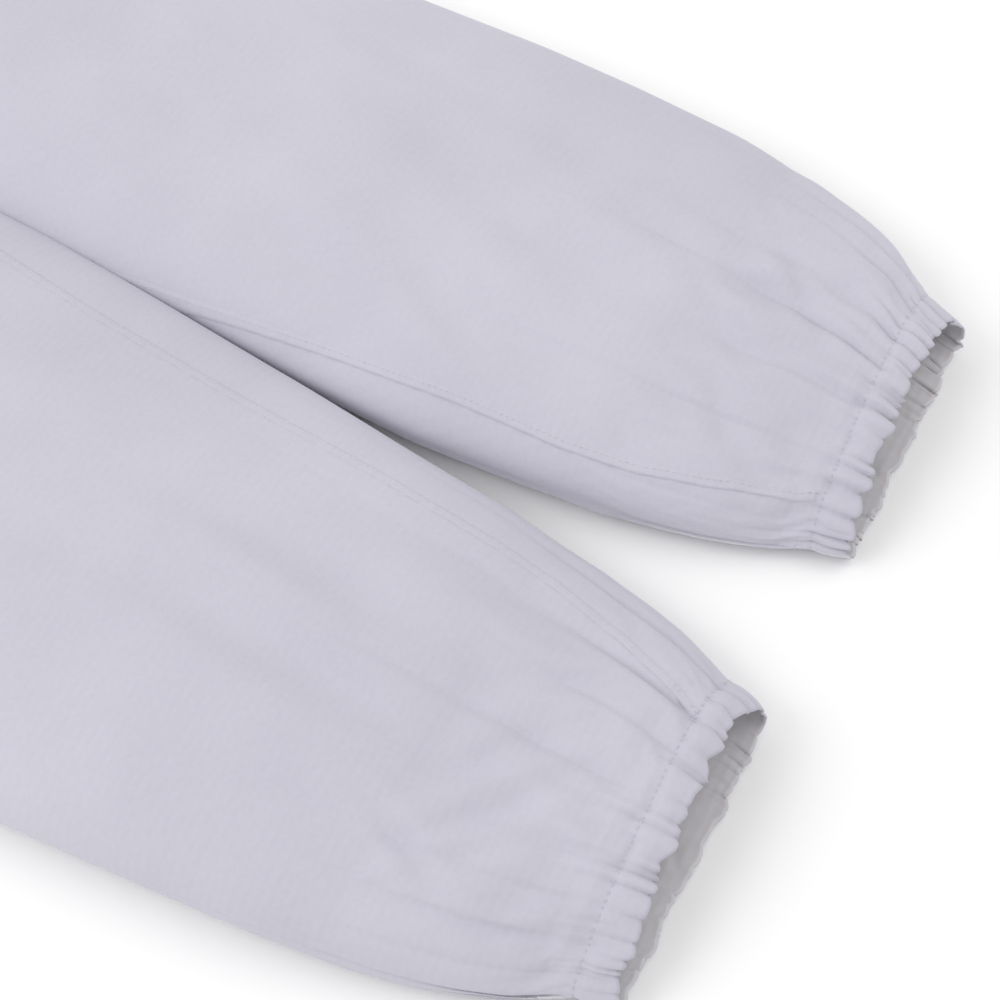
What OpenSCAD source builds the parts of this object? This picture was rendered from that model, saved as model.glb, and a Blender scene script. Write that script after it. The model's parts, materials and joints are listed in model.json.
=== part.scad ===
// Beekeeping suit with a zip-on veiled hood, laid out flat on its back.
// Frame: +Z up from the surface it lies on, +Y towards the head, +X towards
// the wearer's left. The origin is under the middle of the whole suit.
// Lengths along the body are first counted from the ankle hems (y = 0).

/* [Cloth] */
// Thickness of the cloth walls
cloth = 2; // [1.5:0.5:2.5]
// Fullness of the arched front panels, lower is fuller
arch_power = 0.7; // [0.6:0.05:0.9]

/* [Legs] */
// Height of the front panels over the floor at the calf
calf_rise = 48; // [40:1:56]
// Width of each gathered ankle hem
ankle_w = 148; // [140:1:152]
// Height of each ankle opening
ankle_h = 36; // [30:1:40]
// Depth of the ankle and wrist hem casings
hem_d = 18; // [16:1:20]

/* [Body] */
// Height of the closed zip over the floor
zip_z = 62; // [60:1:64]
// Length of the front zip chain
zip_len = 700; // [640:10:710]
// Width of one zip tape
tape_w = 18; // [14:1:20]

/* [Sleeves] */
// Angle between each sleeve and the body
sleeve_angle = 45; // [42:1:50]
// Width of each gathered wrist hem
wrist_w = 104; // [96:1:108]
// Height of each wrist opening
wrist_h = 30; // [26:1:34]

/* [Hood] */
// Height of the veil over the floor
veil_rise = 165; // [150:1:175]
// Diameter of the face hoop
hoop_d = 5; // [4:0.5:6]

/* [Hidden] */
$fn = 48;

suit_len = 1978;
crotch_y = 740;
hip_x = 155.5;
hip_r = 154;
shoulder_x = 300;
shoulder_y = 1390;
shoulder_r = 105;
gap = 1;
neck_y = 1546;
collar_len = 34;
neck_hw = 110;
neck_r = 150;
neck_cz = zip_z - neck_r;
zip_y0 = 836;
zip_y1 = zip_y0 + zip_len;
white = [0.86, 0.86, 0.89];
brass = [0.72, 0.58, 0.30];

// Outlines of the legs: [y, outer x, inner x, share of calf_rise]
right_rows = [
  [hem_d, -199, -44, 0.78], [34, -210, -34, 0.88], [60, -221, -26, 0.95], [100, -232, -16, 0.99],
  [150, -238, -7, 1], [210, -243, 0, 1], [270, -247, 8, 1], [350, -253, 18, 1], [430, -260, 26, 1.02],
  [500, -268, 29, 1.04], [570, -279, 20, 1.06], [640, -291, 6, 1.08], [700, -303, -1.2, 1.1],
  [740, -309, -1.6, 1.12], [895, -309.4, -1.6, 1.14]
];
left_rows = [
  [hem_d, 199, 43, 0.78], [34, 214, 31, 0.88], [60, 231, 20, 0.95], [100, 246, 11, 0.99],
  [150, 256, 5.5, 1], [210, 263, 4, 1], [270, 267, 10.5, 1], [350, 268, 20.5, 1], [430, 272, 28.5, 1.02],
  [500, 277, 31.5, 1.04], [570, 285, 22.5, 1.06], [640, 295, 8.5, 1.08], [700, 303, 2, 1.1],
  [740, 309, 1.6, 1.12], [895, 309.4, 1.6, 1.14]
];
// Half widths of the body: [y, half width]
body_rows = [
  [765, 308], [795, 312], [850, 312], [950, 302], [1040, 290], [1110, 295], [1180, 297], [1215, 286],
  [1245, 264], [1275, 242], [1300, 240], [1340, 250], [1380, 262], [1450, 262], [1490, 261], [1505, 222],
  [1520, 180], [1532, 146], [1545, 116]
];
// Half width and height of the sleeves along their own length
sleeve_rows = [
  [-600 + hem_d, wrist_w / 2 + 2, wrist_h + 1], [-560, 62, 33], [-530, 70, 35], [-480, 75, 37], [-400, 80, 39],
  [-300, 86, 41], [-200, 91, 43], [-100, 94, 44], [0, 95, 44], [105, 95, 44]
];
// Half width and height of the hood: [y, half width, share of veil_rise]
hood_rows = [
  [1614, 112, 0.39], [1640, 128, 0.56], [1680, 146, 0.77], [1730, 158, 0.92], [1790, 162, 1],
  [1845, 158, 1], [1890, 146, 0.93], [1925, 124, 0.78], [1952, 92, 0.58], [1970, 52, 0.36], [1978, 20, 0.2]
];
veil_lo = 36;
veil_hi = 144;
veil_y0 = 1634;
veil_y1 = 1886;

function pick(v, i) = [for (r = v) r[i]];
function at(y, v, i) = lookup(y, [for (r = v) [r[0], r[i]]]);
function arch(a) = pow(max(0, sin(a)), arch_power);

// A closed solid between two grids of points, each a list of rows of equal length
module skin(outer, inner) {
  m = len(outer) - 1;
  n = len(outer[0]) - 1;
  w = n + 1;
  o = (m + 1) * w;
  pts = concat([for (r = outer) each r], [for (r = inner) each r]);
  faces = concat(
    [for (j = [0:m - 1], i = [0:n - 1]) each [
      [j * w + i, (j + 1) * w + i, (j + 1) * w + i + 1],
      [j * w + i, (j + 1) * w + i + 1, j * w + i + 1],
      [o + j * w + i, o + j * w + i + 1, o + (j + 1) * w + i + 1],
      [o + j * w + i, o + (j + 1) * w + i + 1, o + (j + 1) * w + i]]],
    [for (j = [0:m - 1]) each [
      [j * w, o + j * w, o + (j + 1) * w], [j * w, o + (j + 1) * w, (j + 1) * w],
      [o + j * w + n, j * w + n, (j + 1) * w + n], [o + j * w + n, (j + 1) * w + n, o + (j + 1) * w + n]]],
    [for (i = [0:n - 1]) each [
      [i, i + 1, o + i + 1], [i, o + i + 1, o + i],
      [m * w + i + 1, m * w + i, o + m * w + i], [m * w + i + 1, o + m * w + i, o + m * w + i + 1]]]);
  polyhedron(pts, faces);
}

// An arched panel over rows of [y, middle x, half width, height], between two angles (0 left edge, 180 right edge)
module panel(rows, n = 14, a0 = 0, a1 = 180, base = 0, t = 0) {
  th = t == 0 ? cloth : t;
  function pt(r, a, d) = [r[1] - (r[2] - d) * cos(a), r[0], base + (r[3] - base - d) * arch(a)];
  skin([for (r = rows) [for (i = [0:n]) pt(r, a0 + (a1 - a0) * i / n, 0)]],
       [for (r = rows) [for (i = [0:n]) pt(r, a0 + (a1 - a0) * i / n, th)]]);
}

// Flat shape with an arc on top: half width, arc radius, arc centre height, floor height
module dshape(hw, r, cz, z0) {
  intersection() {
    translate([0, cz]) circle(r = r);
    translate([-hw, z0]) square([2 * hw, 400]);
  }
}

// Ring of that shape standing along Y from y0 over len
module dring(y0, len, hw, r, cz, z0, t) {
  translate([0, y0 + len, 0]) rotate([90, 0, 0]) linear_extrude(height = len)
    difference() {
      dshape(hw, r, cz, z0);
      dshape(hw - t, r - t, cz, z0 + t);
    }
}

module rrect(x, y, r) {
  hull() for (i = [-1, 1], j = [-1, 1]) translate([i * (x / 2 - r), j * (y / 2 - r)]) circle(r = r, $fn = 24);
}

module place() { translate([0, -suit_len / 2, 0]) children(); }

// ---------------------------------------------------------------- legs
function leg_outline(rows) = concat([for (r = rows) if (r[0] <= crotch_y) [r[1], r[0]]],
                                    [for (i = [len(rows) - 1:-1:0]) if (rows[i][0] <= crotch_y) [rows[i][2], rows[i][0]]]);

module leg_back(rows, side) {
  place() linear_extrude(height = cloth) {
    polygon(leg_outline(rows));
    translate([side * hip_x, crotch_y]) circle(r = hip_r, $fn = 96);
  }
}

module leg_front(rows, side) {
  place() intersection() {
    panel([for (r = rows) [r[0], (r[1] + r[2]) / 2, abs(r[1] - r[2]) / 2, r[3] * calf_rise]], base = cloth + 0.2);
    union() {
      translate([side * hip_x, crotch_y, -1]) cylinder(r = hip_r, h = 90, $fn = 96);
      translate([-400, -10, -1]) cube([800, crotch_y + 10, 90]);
    }
  }
}

// Hem casing: a folded channel round the opening, with the elastic inside it
module hem(cx, w, h) {
  r = (pow(w / 2, 2) + pow(h - 8, 2)) / (2 * (h - 8));
  translate([cx, 0, 0]) difference() {
    dring(0, hem_d, w / 2, r, h - r, 0, 6);
    dring(2, hem_d, w / 2 - 1.4, r - 1.4, h - r, 1.4, 3.2);
  }
}

module elastic(cx, w, h) {
  r = (pow(w / 2, 2) + pow(h - 8, 2)) / (2 * (h - 8));
  translate([cx, 0, 0]) dring(3, hem_d - 5, w / 2 - 2, r - 2, h - r, 2, 2);
}

module leg_front_left() { color(white) leg_front(left_rows, 1); }
module leg_back_left() { color(white) leg_back(left_rows, 1); }
module ankle_hem_left() { color(white) place() hem(121, ankle_w, ankle_h); }
module ankle_elastic_left() { color("whitesmoke") place() elastic(121, ankle_w, ankle_h); }
module leg_front_right() { color(white) leg_front(right_rows, -1); }
module leg_back_right() { color(white) leg_back(right_rows, -1); }
module ankle_hem_right() { color(white) place() hem(-121.5, ankle_w, ankle_h); }
module ankle_elastic_right() { color("whitesmoke") place() elastic(-121.5, ankle_w, ankle_h); }

// Long patch pocket for a hive tool on the right thigh
module tool_pocket() {
  rows = [for (r = [[575, 0], [640, 0], [700, 0], [755, 0]])
    [r[0], (at(r[0], right_rows, 1) + at(r[0], right_rows, 2)) / 2,
     abs(at(r[0], right_rows, 1) - at(r[0], right_rows, 2)) / 2 + 1.6,
     at(r[0], right_rows, 3) * calf_rise + 1.7]];
  color(white) place() panel(rows, n = 6, a0 = 66, a1 = 102, base = cloth + 0.2, t = 1.4);
}

// ---------------------------------------------------------------- body
function body_w(y) = lookup(y, body_rows);
function body_z(x, y, off = 0) = cloth + 0.2 + (zip_z - cloth - 0.2) * pow(max(0, 1 - pow(x / body_w(y), 2)), arch_power / 2) + off;

module body_cut() {
  for (s = [-1, 1]) {
    translate([s * hip_x, crotch_y, -5]) cylinder(r = hip_r + gap, h = 120, $fn = 96);
    translate([s * shoulder_x, shoulder_y, -5]) cylinder(r = shoulder_r + gap, h = 120, $fn = 96);
    translate([s * 300 - 100, 700, -5]) cube([200, 93, 120]);
  }
}

module body_front() {
  difference() {
    skin([for (r = body_rows) [for (i = [0:11]) front_pt(r, i / 11, 0)]],
         [for (r = body_rows) [for (i = [0:11]) front_pt(r, i / 11, cloth)]]);
    body_cut();
  }
}
function front_pt(r, u, d) = let(a0 = 90 + asin(12 / (r[1] - d)), a = a0 + (180 - a0) * u)
  [-(r[1] - d) * cos(a), r[0], cloth + 0.2 + (zip_z - cloth - 0.2 - d) * arch(a)];

module body_front_left() { color(white) place() body_front(); }
module body_front_right() { color(white) place() mirror([1, 0, 0]) body_front(); }

module body_back() {
  color(white) place() difference() {
    linear_extrude(height = cloth)
      polygon(concat([for (r = body_rows) [r[1], r[0]]], [for (i = [len(body_rows) - 1:-1:0]) [-body_rows[i][1], body_rows[i][0]]]));
    body_cut();
  }
}

module waist_elastic() {
  color("whitesmoke") place() translate([-150, 1024, cloth]) cube([300, 30, 1.6]);
}

// A patch that follows the front of the body, between two x and two y values
module patch(x0, x1, y0, y1, off, t, n = 5, m = 4) {
  function row(j, o) = [for (i = [0:n]) let(x = x0 + (x1 - x0) * i / n, y = y0 + (y1 - y0) * j / m) [x, y, body_z(x, y, o)]];
  skin([for (j = [0:m]) row(j, off + t)], [for (j = [0:m]) row(j, off)]);
}

module chest_pocket() { color(white) place() patch(66, 186, 1250, 1385, 0.4, 1.4); }
module chest_pocket_flap() { color(white) place() patch(62, 190, 1342, 1392, 2.6, 1.6); }
module hip_pocket() {
  intersection() {
    patch(112, 262, 902, 1052, 0.4, 1.4, n = 8, m = 5);
    linear_extrude(height = 90) polygon([[100, 890], [270, 890], [270, 930], [262, 962], [196, 1054], [100, 1054]]);
  }
}
module hip_pocket_left() { color(white) place() hip_pocket(); }
module hip_pocket_right() { color(white) place() mirror([1, 0, 0]) hip_pocket(); }

// ---------------------------------------------------------------- front zip
module tape() { translate([1.8, zip_y0 - 12, zip_z - 3.8]) cube([tape_w, zip_len + 20, 1]); }
module teeth() { translate([0.15, zip_y0, zip_z - 5.2]) cube([1.6, zip_len, 3.8]); }
module zip_tape_left() { color("white") place() tape(); }
module zip_tape_right() { color("white") place() mirror([1, 0, 0]) tape(); }
module zip_teeth_left() { color(brass) place() teeth(); }
module zip_teeth_right() { color(brass) place() mirror([1, 0, 0]) teeth(); }
module zip_stops() {
  color(brass) place() {
    translate([-1.6, zip_y0 - 6, zip_z - 5.2]) cube([3.2, 5.6, 3.8]);
    for (s = [-1, 1]) translate([s * 0.9 - 0.7, zip_y1 + 0.4, zip_z - 5.2]) cube([1.4, 4, 3.8]);
  }
}

// Cap of a zip slider riding on a chain along Y whose top is at z = 0, with a pin for its pull
module slider_cap(one_side = false) {
  difference() {
    union() {
      translate([-5, -6, 0.4]) cube([one_side ? 5.2 : 10, 12, 1.8]);
      translate([-5, -6, -1.1]) cube([2, 12, 1.6]);
      if (!one_side) translate([3, -6, -1.1]) cube([2, 12, 1.6]);
    }
    translate([-6, 4, -2]) rotate([0, 0, 45]) cube([6, 3, 8], center = false);
  }
  if (one_side) translate([-5, -1.6, 1.6]) cube([9, 3.2, 0.6]);
  for (s = [-1, 1]) translate([s * 3.2 - 0.8, -1.6, 2]) cube([1.6, 3.2, 3.3]);
  translate([-3, 0, 4.4]) rotate([0, 90, 0]) cylinder(r = 0.8, h = 6, $fn = 32);
}

// Pull tab lying along -Y from the pin
module pull(len) {
  difference() {
    union() {
      translate([-1.9, 0, 4.4]) rotate([0, 90, 0]) cylinder(r = 1.9, h = 3.8, $fn = 32);
      translate([-1.9, -8, 3.7]) cube([3.8, 8, 1.4]);
      translate([0, -len / 2 - 5, 3.7]) linear_extrude(height = 1.4) difference() {
        rrect(8, len - 6, 3);
        translate([0, -len / 4]) rrect(4, 6, 1.5);
      }
    }
    translate([-3, 0, 4.4]) rotate([0, 90, 0]) cylinder(r = 1.05, h = 6, $fn = 32);
  }
}

module zip_slider() { color(brass) place() translate([0, zip_y1 - 8, zip_z - 1.2]) slider_cap(); }
module zip_pull() { color(brass) place() translate([0, zip_y1 - 8, zip_z - 1.2]) pull(36); }

// ---------------------------------------------------------------- neck
module collar() {
  color(white) place() difference() {
    dring(neck_y, collar_len, neck_hw, neck_r, neck_cz, 0, cloth);
    translate([-12, neck_y - 1, 20]) cube([24, collar_len + 2, 80]);
  }
}
module neck_zip_tape() {
  color("white") place() difference() {
    dring(neck_y + collar_len, 4, neck_hw - 0.6, neck_r - 0.6, neck_cz, 0.6, 1.2);
    translate([-2.5, neck_y, 20]) cube([5, 100, 80]);
  }
}
module neck_chain(y0) {
  difference() {
    dring(y0, 1.6, neck_hw + 0.8, neck_r + 0.8, neck_cz, 0, 3.6);
    translate([-2.5, y0 - 1, 20]) cube([5, 4, 80]);
  }
}
module neck_zip_teeth() { color(brass) place() neck_chain(neck_y + collar_len + 4); }

// Turns a slider or pull made at the top of the neck ring round to an angle, its chain running along X
module on_neck(angle, s) {
  place() translate([0, neck_y + collar_len + 5.4, neck_cz]) rotate([0, s * angle, 0])
    translate([0, 0, neck_r + 0.8]) rotate([0, 0, s * 90]) children();
}
module neck_slider_left() { color(brass) on_neck(4, 1) mirror([0, 0, 0]) slider_cap(true); }
module neck_slider_right() { color(brass) on_neck(4, -1) mirror([1, 0, 0]) slider_cap(true); }
module neck_pull_left() { color(brass) on_neck(4, 1) pull(30); }
module neck_pull_right() { color(brass) on_neck(4, -1) pull(30); }

module hanging_loop() {
  color("white") place() translate([0, neck_y + 16, cloth]) {
    for (s = [-1, 1]) translate([s * 34 - 5, -5, 0]) cube([10, 10, 1.4]);
    translate([-31, -4, 3]) cube([62, 8, 1.2]);
    for (s = [-1, 1]) translate([s * 31 - 1, -4, 1.2]) cube([2, 8, 3]);
  }
}

// Part of a ring about the neck axis: radii, two angles from the top, start and length along Y
module neck_arc(r0, r1, a0, a1, y0, len) {
  place() translate([0, y0 + len, neck_cz]) rotate([90, 0, 0]) linear_extrude(height = len) difference() {
    intersection() {
      circle(r = r1, $fn = 96);
      polygon([[0, 0], 300 * [sin(a0), cos(a0)], 300 * [sin(a1), cos(a1)]]);
    }
    circle(r = r0, $fn = 96);
  }
}
module throat_tab() { color(white) neck_arc(neck_r + 2.6, neck_r + 4.2, -17, 17, neck_y + 3, 28); }
module throat_tab_hooks() { color("white") neck_arc(neck_r + 1.4, neck_r + 2.6, -16, -8, neck_y + 5, 24); }
module throat_loops() { color("white") neck_arc(neck_r, neck_r + 1, -16, -8, neck_y + 5, 24); }

// ---------------------------------------------------------------- sleeves
module on_left_arm() { place() translate([shoulder_x, shoulder_y, 0]) rotate([0, 0, sleeve_angle]) children(); }
module on_right_arm() { place() mirror([1, 0, 0]) translate([shoulder_x, shoulder_y, 0]) rotate([0, 0, sleeve_angle]) children(); }

module sleeve_front() {
  intersection() {
    panel([for (r = sleeve_rows) [r[0], 0, r[1], r[2]]], base = cloth + 0.2);
    union() {
      translate([0, 0, -1]) cylinder(r = shoulder_r, h = 90, $fn = 96);
      translate([-200, -700, -1]) cube([400, 700, 90]);
    }
  }
}
module sleeve_back() {
  linear_extrude(height = cloth) {
    polygon(concat([for (r = sleeve_rows) if (r[0] <= 0) [r[1], r[0]]], [for (i = [len(sleeve_rows) - 1:-1:0]) if (sleeve_rows[i][0] <= 0) [-sleeve_rows[i][1], sleeve_rows[i][0]]]));
    circle(r = shoulder_r, $fn = 96);
  }
}
module thumb_loop() {
  translate([-14, -620, 0]) linear_extrude(height = 1.8) difference() {
    rrect(34, 70, 16);
    rrect(24, 60, 11);
    translate([-30, 20]) square([60, 40]);
  }
}
module sleeve_front_left() { color(white) on_left_arm() sleeve_front(); }
module sleeve_back_left() { color(white) on_left_arm() sleeve_back(); }
module wrist_hem_left() { color(white) on_left_arm() translate([0, -600, 0]) hem(0, wrist_w, wrist_h); }
module wrist_elastic_left() { color("whitesmoke") on_left_arm() translate([0, -600, 0]) elastic(0, wrist_w, wrist_h); }
module thumb_loop_left() { color("white") on_left_arm() thumb_loop(); }
module sleeve_front_right() { color(white) on_right_arm() sleeve_front(); }
module sleeve_back_right() { color(white) on_right_arm() sleeve_back(); }
module wrist_hem_right() { color(white) on_right_arm() translate([0, -600, 0]) hem(0, wrist_w, wrist_h); }
module wrist_elastic_right() { color("whitesmoke") on_right_arm() translate([0, -600, 0]) elastic(0, wrist_w, wrist_h); }
module thumb_loop_right() { color("white") on_right_arm() thumb_loop(); }

// ---------------------------------------------------------------- hood
hood_y0 = neck_y + collar_len + 11.8;
module hood_neck_band() { color(white) place() dring(hood_y0, 21.8, neck_hw, neck_r, neck_cz, 0, cloth); }
module hood_zip_tape() {
  color("white") place() difference() {
    dring(hood_y0 - 4, 4, neck_hw - 0.6, neck_r - 0.6, neck_cz, 0.6, 1.2);
    translate([-2.5, hood_y0 - 10, 20]) cube([5, 20, 80]);
  }
}
module hood_zip_teeth() { color(brass) place() neck_chain(hood_y0 - 5.6); }

function hood_w(y) = lookup(y, [for (r = hood_rows) [r[0], r[1]]]);
function hood_h(y) = veil_rise * lookup(y, [for (r = hood_rows) [r[0], r[2]]]);
function hood_slice(ys) = [for (y = ys) [y, 0, hood_w(y), hood_h(y)]];
side_ys = [1614, 1640, 1680, 1730, 1790, 1845, 1886];
veil_ys = [veil_y0 + 0.5, 1660, 1690, 1730, 1790, 1845, veil_y1 - 0.5];
crown_ys = [1886, 1905, 1925, 1940, 1952, 1962, 1970, 1978];

module hood_back() {
  color(white) place() linear_extrude(height = cloth)
    polygon(concat([for (r = hood_rows) [r[1], r[0]]], [for (i = [len(hood_rows) - 1:-1:0]) [-hood_rows[i][1], hood_rows[i][0]]]));
}
module hood_side(a0, a1) { panel(hood_slice(side_ys), n = 5, a0 = a0, a1 = a1, base = cloth + 0.2); }
module hood_side_left() {
  color(white) place() hood_side(veil_hi + 0.4, 180);
}
module hood_side_right() {
  color(white) place() hood_side(0, veil_lo - 0.4);
}
module hood_crown() {
  color(white) place() {
    panel(hood_slice(crown_ys), n = 14, base = cloth + 0.2);
  }
}
module hood_chin() {
  color(white) place() panel(hood_slice([1614.2, 1624, veil_y0]), n = 10, a0 = veil_lo, a1 = veil_hi, base = cloth + 0.2);
}
module veil() {
  color([0.08, 0.08, 0.09]) place() panel(hood_slice(veil_ys), n = 16, a0 = veil_lo + 0.3, a1 = veil_hi - 0.3, base = cloth + 0.2, t = 1);
}

// The hoop runs round the edge of the veil, just outside the cloth
function hood_pt(y, a, off) = [-(hood_w(y) + off) * cos(a), y, cloth + 0.2 + (hood_h(y) - cloth - 0.2 + off) * arch(a)];
hoop_path = concat(
  [for (i = [0:12]) hood_pt(veil_y0 - 3, veil_lo + (veil_hi - veil_lo) * i / 12, hoop_d / 2 + 4)],
  [for (y = [1670, 1705, 1740, 1775, 1810, 1845]) hood_pt(y, veil_hi, hoop_d / 2 + 2.2)],
  [for (i = [12:-1:0]) hood_pt(veil_y1, veil_lo + (veil_hi - veil_lo) * i / 12, hoop_d / 2 + 1)],
  [for (y = [1845, 1810, 1775, 1740, 1705, 1670]) hood_pt(y, veil_lo, hoop_d / 2 + 2.2)]);

function unit(v) = v / norm(v);
function mid_dir(p, i) = let(n = len(p)) unit(unit(p[(i + 1) % n] - p[i]) + unit(p[i] - p[(i + n - 1) % n]));
// A closed tube through a loop of points
module loop_tube(p, r, sides = 8) {
  n = len(p);
  pts = [for (i = [0:n - 1]) let(d = mid_dir(p, i), up = unit(p[i] - [0, 1760, 40]), u = unit(cross(d, up)), v = cross(u, d))
    each [for (k = [0:sides - 1]) p[i] + r * (cos(360 * k / sides) * u + sin(360 * k / sides) * v)]];
  faces = [for (i = [0:n - 1], k = [0:sides - 1]) let(a = i * sides + k, b = i * sides + (k + 1) % sides,
    c = ((i + 1) % n) * sides + (k + 1) % sides, d = ((i + 1) % n) * sides + k) each [[a, b, c], [a, c, d]]];
  polyhedron(pts, faces);
}
module face_hoop() { color("white") place() loop_tube(hoop_path, hoop_d / 2); }
module hoop_joiner() {
  p = hood_pt(veil_y0 - 3, 90, hoop_d / 2 + 4);
  color("silver") place() translate([-8, p[1], p[2]]) rotate([0, 90, 0]) difference() {
    cylinder(r = hoop_d / 2 + 0.9, h = 16, $fn = 32);
    translate([0, 0, -1]) cylinder(r = hoop_d / 2 + 0.4, h = 18, $fn = 32);
  }
}
module sweatband() {
  color("white") place() panel([for (y = [1896, 1916]) [y, 0, hood_w(y) - 5, hood_h(y) - 5]], n = 10, a0 = 14, a1 = 166, base = cloth + 1, t = 1.4);
}

leg_front_left();
leg_back_left();
ankle_hem_left();
ankle_elastic_left();
leg_front_right();
leg_back_right();
ankle_hem_right();
ankle_elastic_right();
tool_pocket();
body_front_left();
body_front_right();
body_back();
waist_elastic();
zip_tape_left();
zip_tape_right();
zip_teeth_left();
zip_teeth_right();
zip_stops();
zip_slider();
zip_pull();
chest_pocket();
chest_pocket_flap();
hip_pocket_left();
hip_pocket_right();
collar();
hanging_loop();
throat_tab();
throat_tab_hooks();
throat_loops();
neck_zip_tape();
neck_zip_teeth();
neck_slider_left();
neck_slider_right();
neck_pull_left();
neck_pull_right();
sleeve_front_left();
sleeve_back_left();
wrist_hem_left();
wrist_elastic_left();
thumb_loop_left();
sleeve_front_right();
sleeve_back_right();
wrist_hem_right();
wrist_elastic_right();
thumb_loop_right();
hood_neck_band();
hood_zip_tape();
hood_zip_teeth();
hood_back();
hood_side_left();
hood_side_right();
hood_crown();
hood_chin();
veil();
face_hoop();
hoop_joiner();
sweatband();
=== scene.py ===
import bpy, bmesh, json, math
import numpy as np
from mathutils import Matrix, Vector, noise

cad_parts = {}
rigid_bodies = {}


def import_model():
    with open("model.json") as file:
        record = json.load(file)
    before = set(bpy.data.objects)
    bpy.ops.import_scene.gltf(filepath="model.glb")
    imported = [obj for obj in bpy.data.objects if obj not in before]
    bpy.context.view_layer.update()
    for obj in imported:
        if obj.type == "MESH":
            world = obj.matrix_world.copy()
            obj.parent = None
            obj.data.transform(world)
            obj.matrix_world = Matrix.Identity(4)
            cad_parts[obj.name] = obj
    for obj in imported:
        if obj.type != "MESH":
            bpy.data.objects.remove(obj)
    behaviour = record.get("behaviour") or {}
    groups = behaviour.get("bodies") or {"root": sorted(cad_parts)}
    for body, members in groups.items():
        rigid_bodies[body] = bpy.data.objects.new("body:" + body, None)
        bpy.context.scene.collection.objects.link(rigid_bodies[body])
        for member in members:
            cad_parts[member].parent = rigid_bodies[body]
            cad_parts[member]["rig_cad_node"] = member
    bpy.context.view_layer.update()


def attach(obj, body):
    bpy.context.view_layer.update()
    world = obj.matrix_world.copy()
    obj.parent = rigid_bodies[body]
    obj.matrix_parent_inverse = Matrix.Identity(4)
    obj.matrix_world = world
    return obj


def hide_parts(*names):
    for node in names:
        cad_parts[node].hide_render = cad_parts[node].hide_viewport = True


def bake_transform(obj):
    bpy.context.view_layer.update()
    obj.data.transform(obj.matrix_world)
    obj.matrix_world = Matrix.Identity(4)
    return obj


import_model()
OY = 0.989          # lengths are written from the ankle hems, in mm, and the row frame starts OY further up

# ------------------------------------------------------------------ outlines, in mm from the ankle hems
RIGHT = [(-2, -192.5, -48.5, 0.66), (8, -196, -46, 0.70), (18, -200, -43.5, 0.76), (34, -210, -35, 0.86), (60, -221.5, -26, 0.94),
         (100, -232.5, -16, 0.99), (150, -238.5, -7, 1), (210, -243, 1, 1), (270, -247, 10, 1), (350, -253, 20, 1),
         (430, -260, 30, 1.02), (500, -268, 33, 1.04), (570, -279, 24, 1.06), (640, -291, 8, 1.08), (700, -303, 0, 1.1),
         (740, -309, -0.4, 1.12), (895, -309.4, -0.4, 1.14)]
LEFT = [(-2, 194, 52, 0.66), (8, 198, 50, 0.70), (18, 203, 47, 0.76), (34, 218, 37, 0.86), (60, 234, 27, 0.95),
        (100, 249, 18, 0.99), (150, 258, 13, 1), (210, 265, 10, 1), (270, 269, 13, 1), (350, 270, 19, 1),
        (430, 272, 24, 1.02), (500, 277, 27, 1.04), (570, 285, 20, 1.06), (640, 295, 7, 1.08), (700, 303, 0.8, 1.1),
        (740, 309, 0.4, 1.12), (895, 309.4, 0.4, 1.14)]


def at(rows, y, i):
    r = np.array(rows, float)
    return np.interp(y, r[:, 0], r[:, i])


def smooth_at(rows, y, i, w=14.0):
    """Value of column i at y, rounded over a length w so that no corner shows."""
    k = np.linspace(-1, 1, 9)
    g = np.exp(-2 * k * k)
    return (np.array([at(rows, y + w * t, i) for t in k]) * g[:, None] if np.ndim(y) else np.array([at(rows, y + w * t, i) for t in k]) * g).sum(0) / g.sum()


def wave(u, seed, count, octaves=1):
    """Irregular periodic waves of u in 0..1, about `count` of them, between -1 and 1."""
    rs = np.random.RandomState(seed)
    out = np.zeros_like(u)
    tot = 0
    for k in range(4):
        n = max(1, int(round(count * (0.62 + 0.26 * k + 0.08 * rs.rand()))))
        a = (0.6, 1.0, 0.8, 0.45)[k]
        warp = 0.035 * np.sin(2 * np.pi * (u * rs.randint(1, 4) + rs.rand()))
        out += a * np.sin(2 * np.pi * (n * (u + warp) + rs.rand()))
        tot += a
    return out / tot * 1.5


def make(name, co, faces, body=None, mats=(), smooth=True):
    me = bpy.data.meshes.new(name)
    me.from_pydata([tuple(c) for c in co], [], faces)
    me.update()
    ob = bpy.data.objects.new(name, me)
    bpy.context.scene.collection.objects.link(ob)
    if smooth:
        me.polygons.foreach_set("use_smooth", [True] * len(me.polygons))
    for m in mats:
        me.materials.append(m)
    if body:
        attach(ob, body)
    return ob


def grid_faces(rows, cols, wrap=True, off=0):
    f = []
    for j in range(rows - 1):
        for i in range(cols if wrap else cols - 1):
            a = j * cols + i
            b = j * cols + (i + 1) % cols
            f.append((off + a, off + b, off + b + cols, off + a + cols))
    return f


def apply_mods(ob):
    dg = bpy.context.evaluated_depsgraph_get()
    ev = ob.evaluated_get(dg)
    me = bpy.data.meshes.new_from_object(ev)
    old = ob.data
    ob.modifiers.clear()
    ob.data = me
    bpy.data.meshes.remove(old)
    return ob


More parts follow.
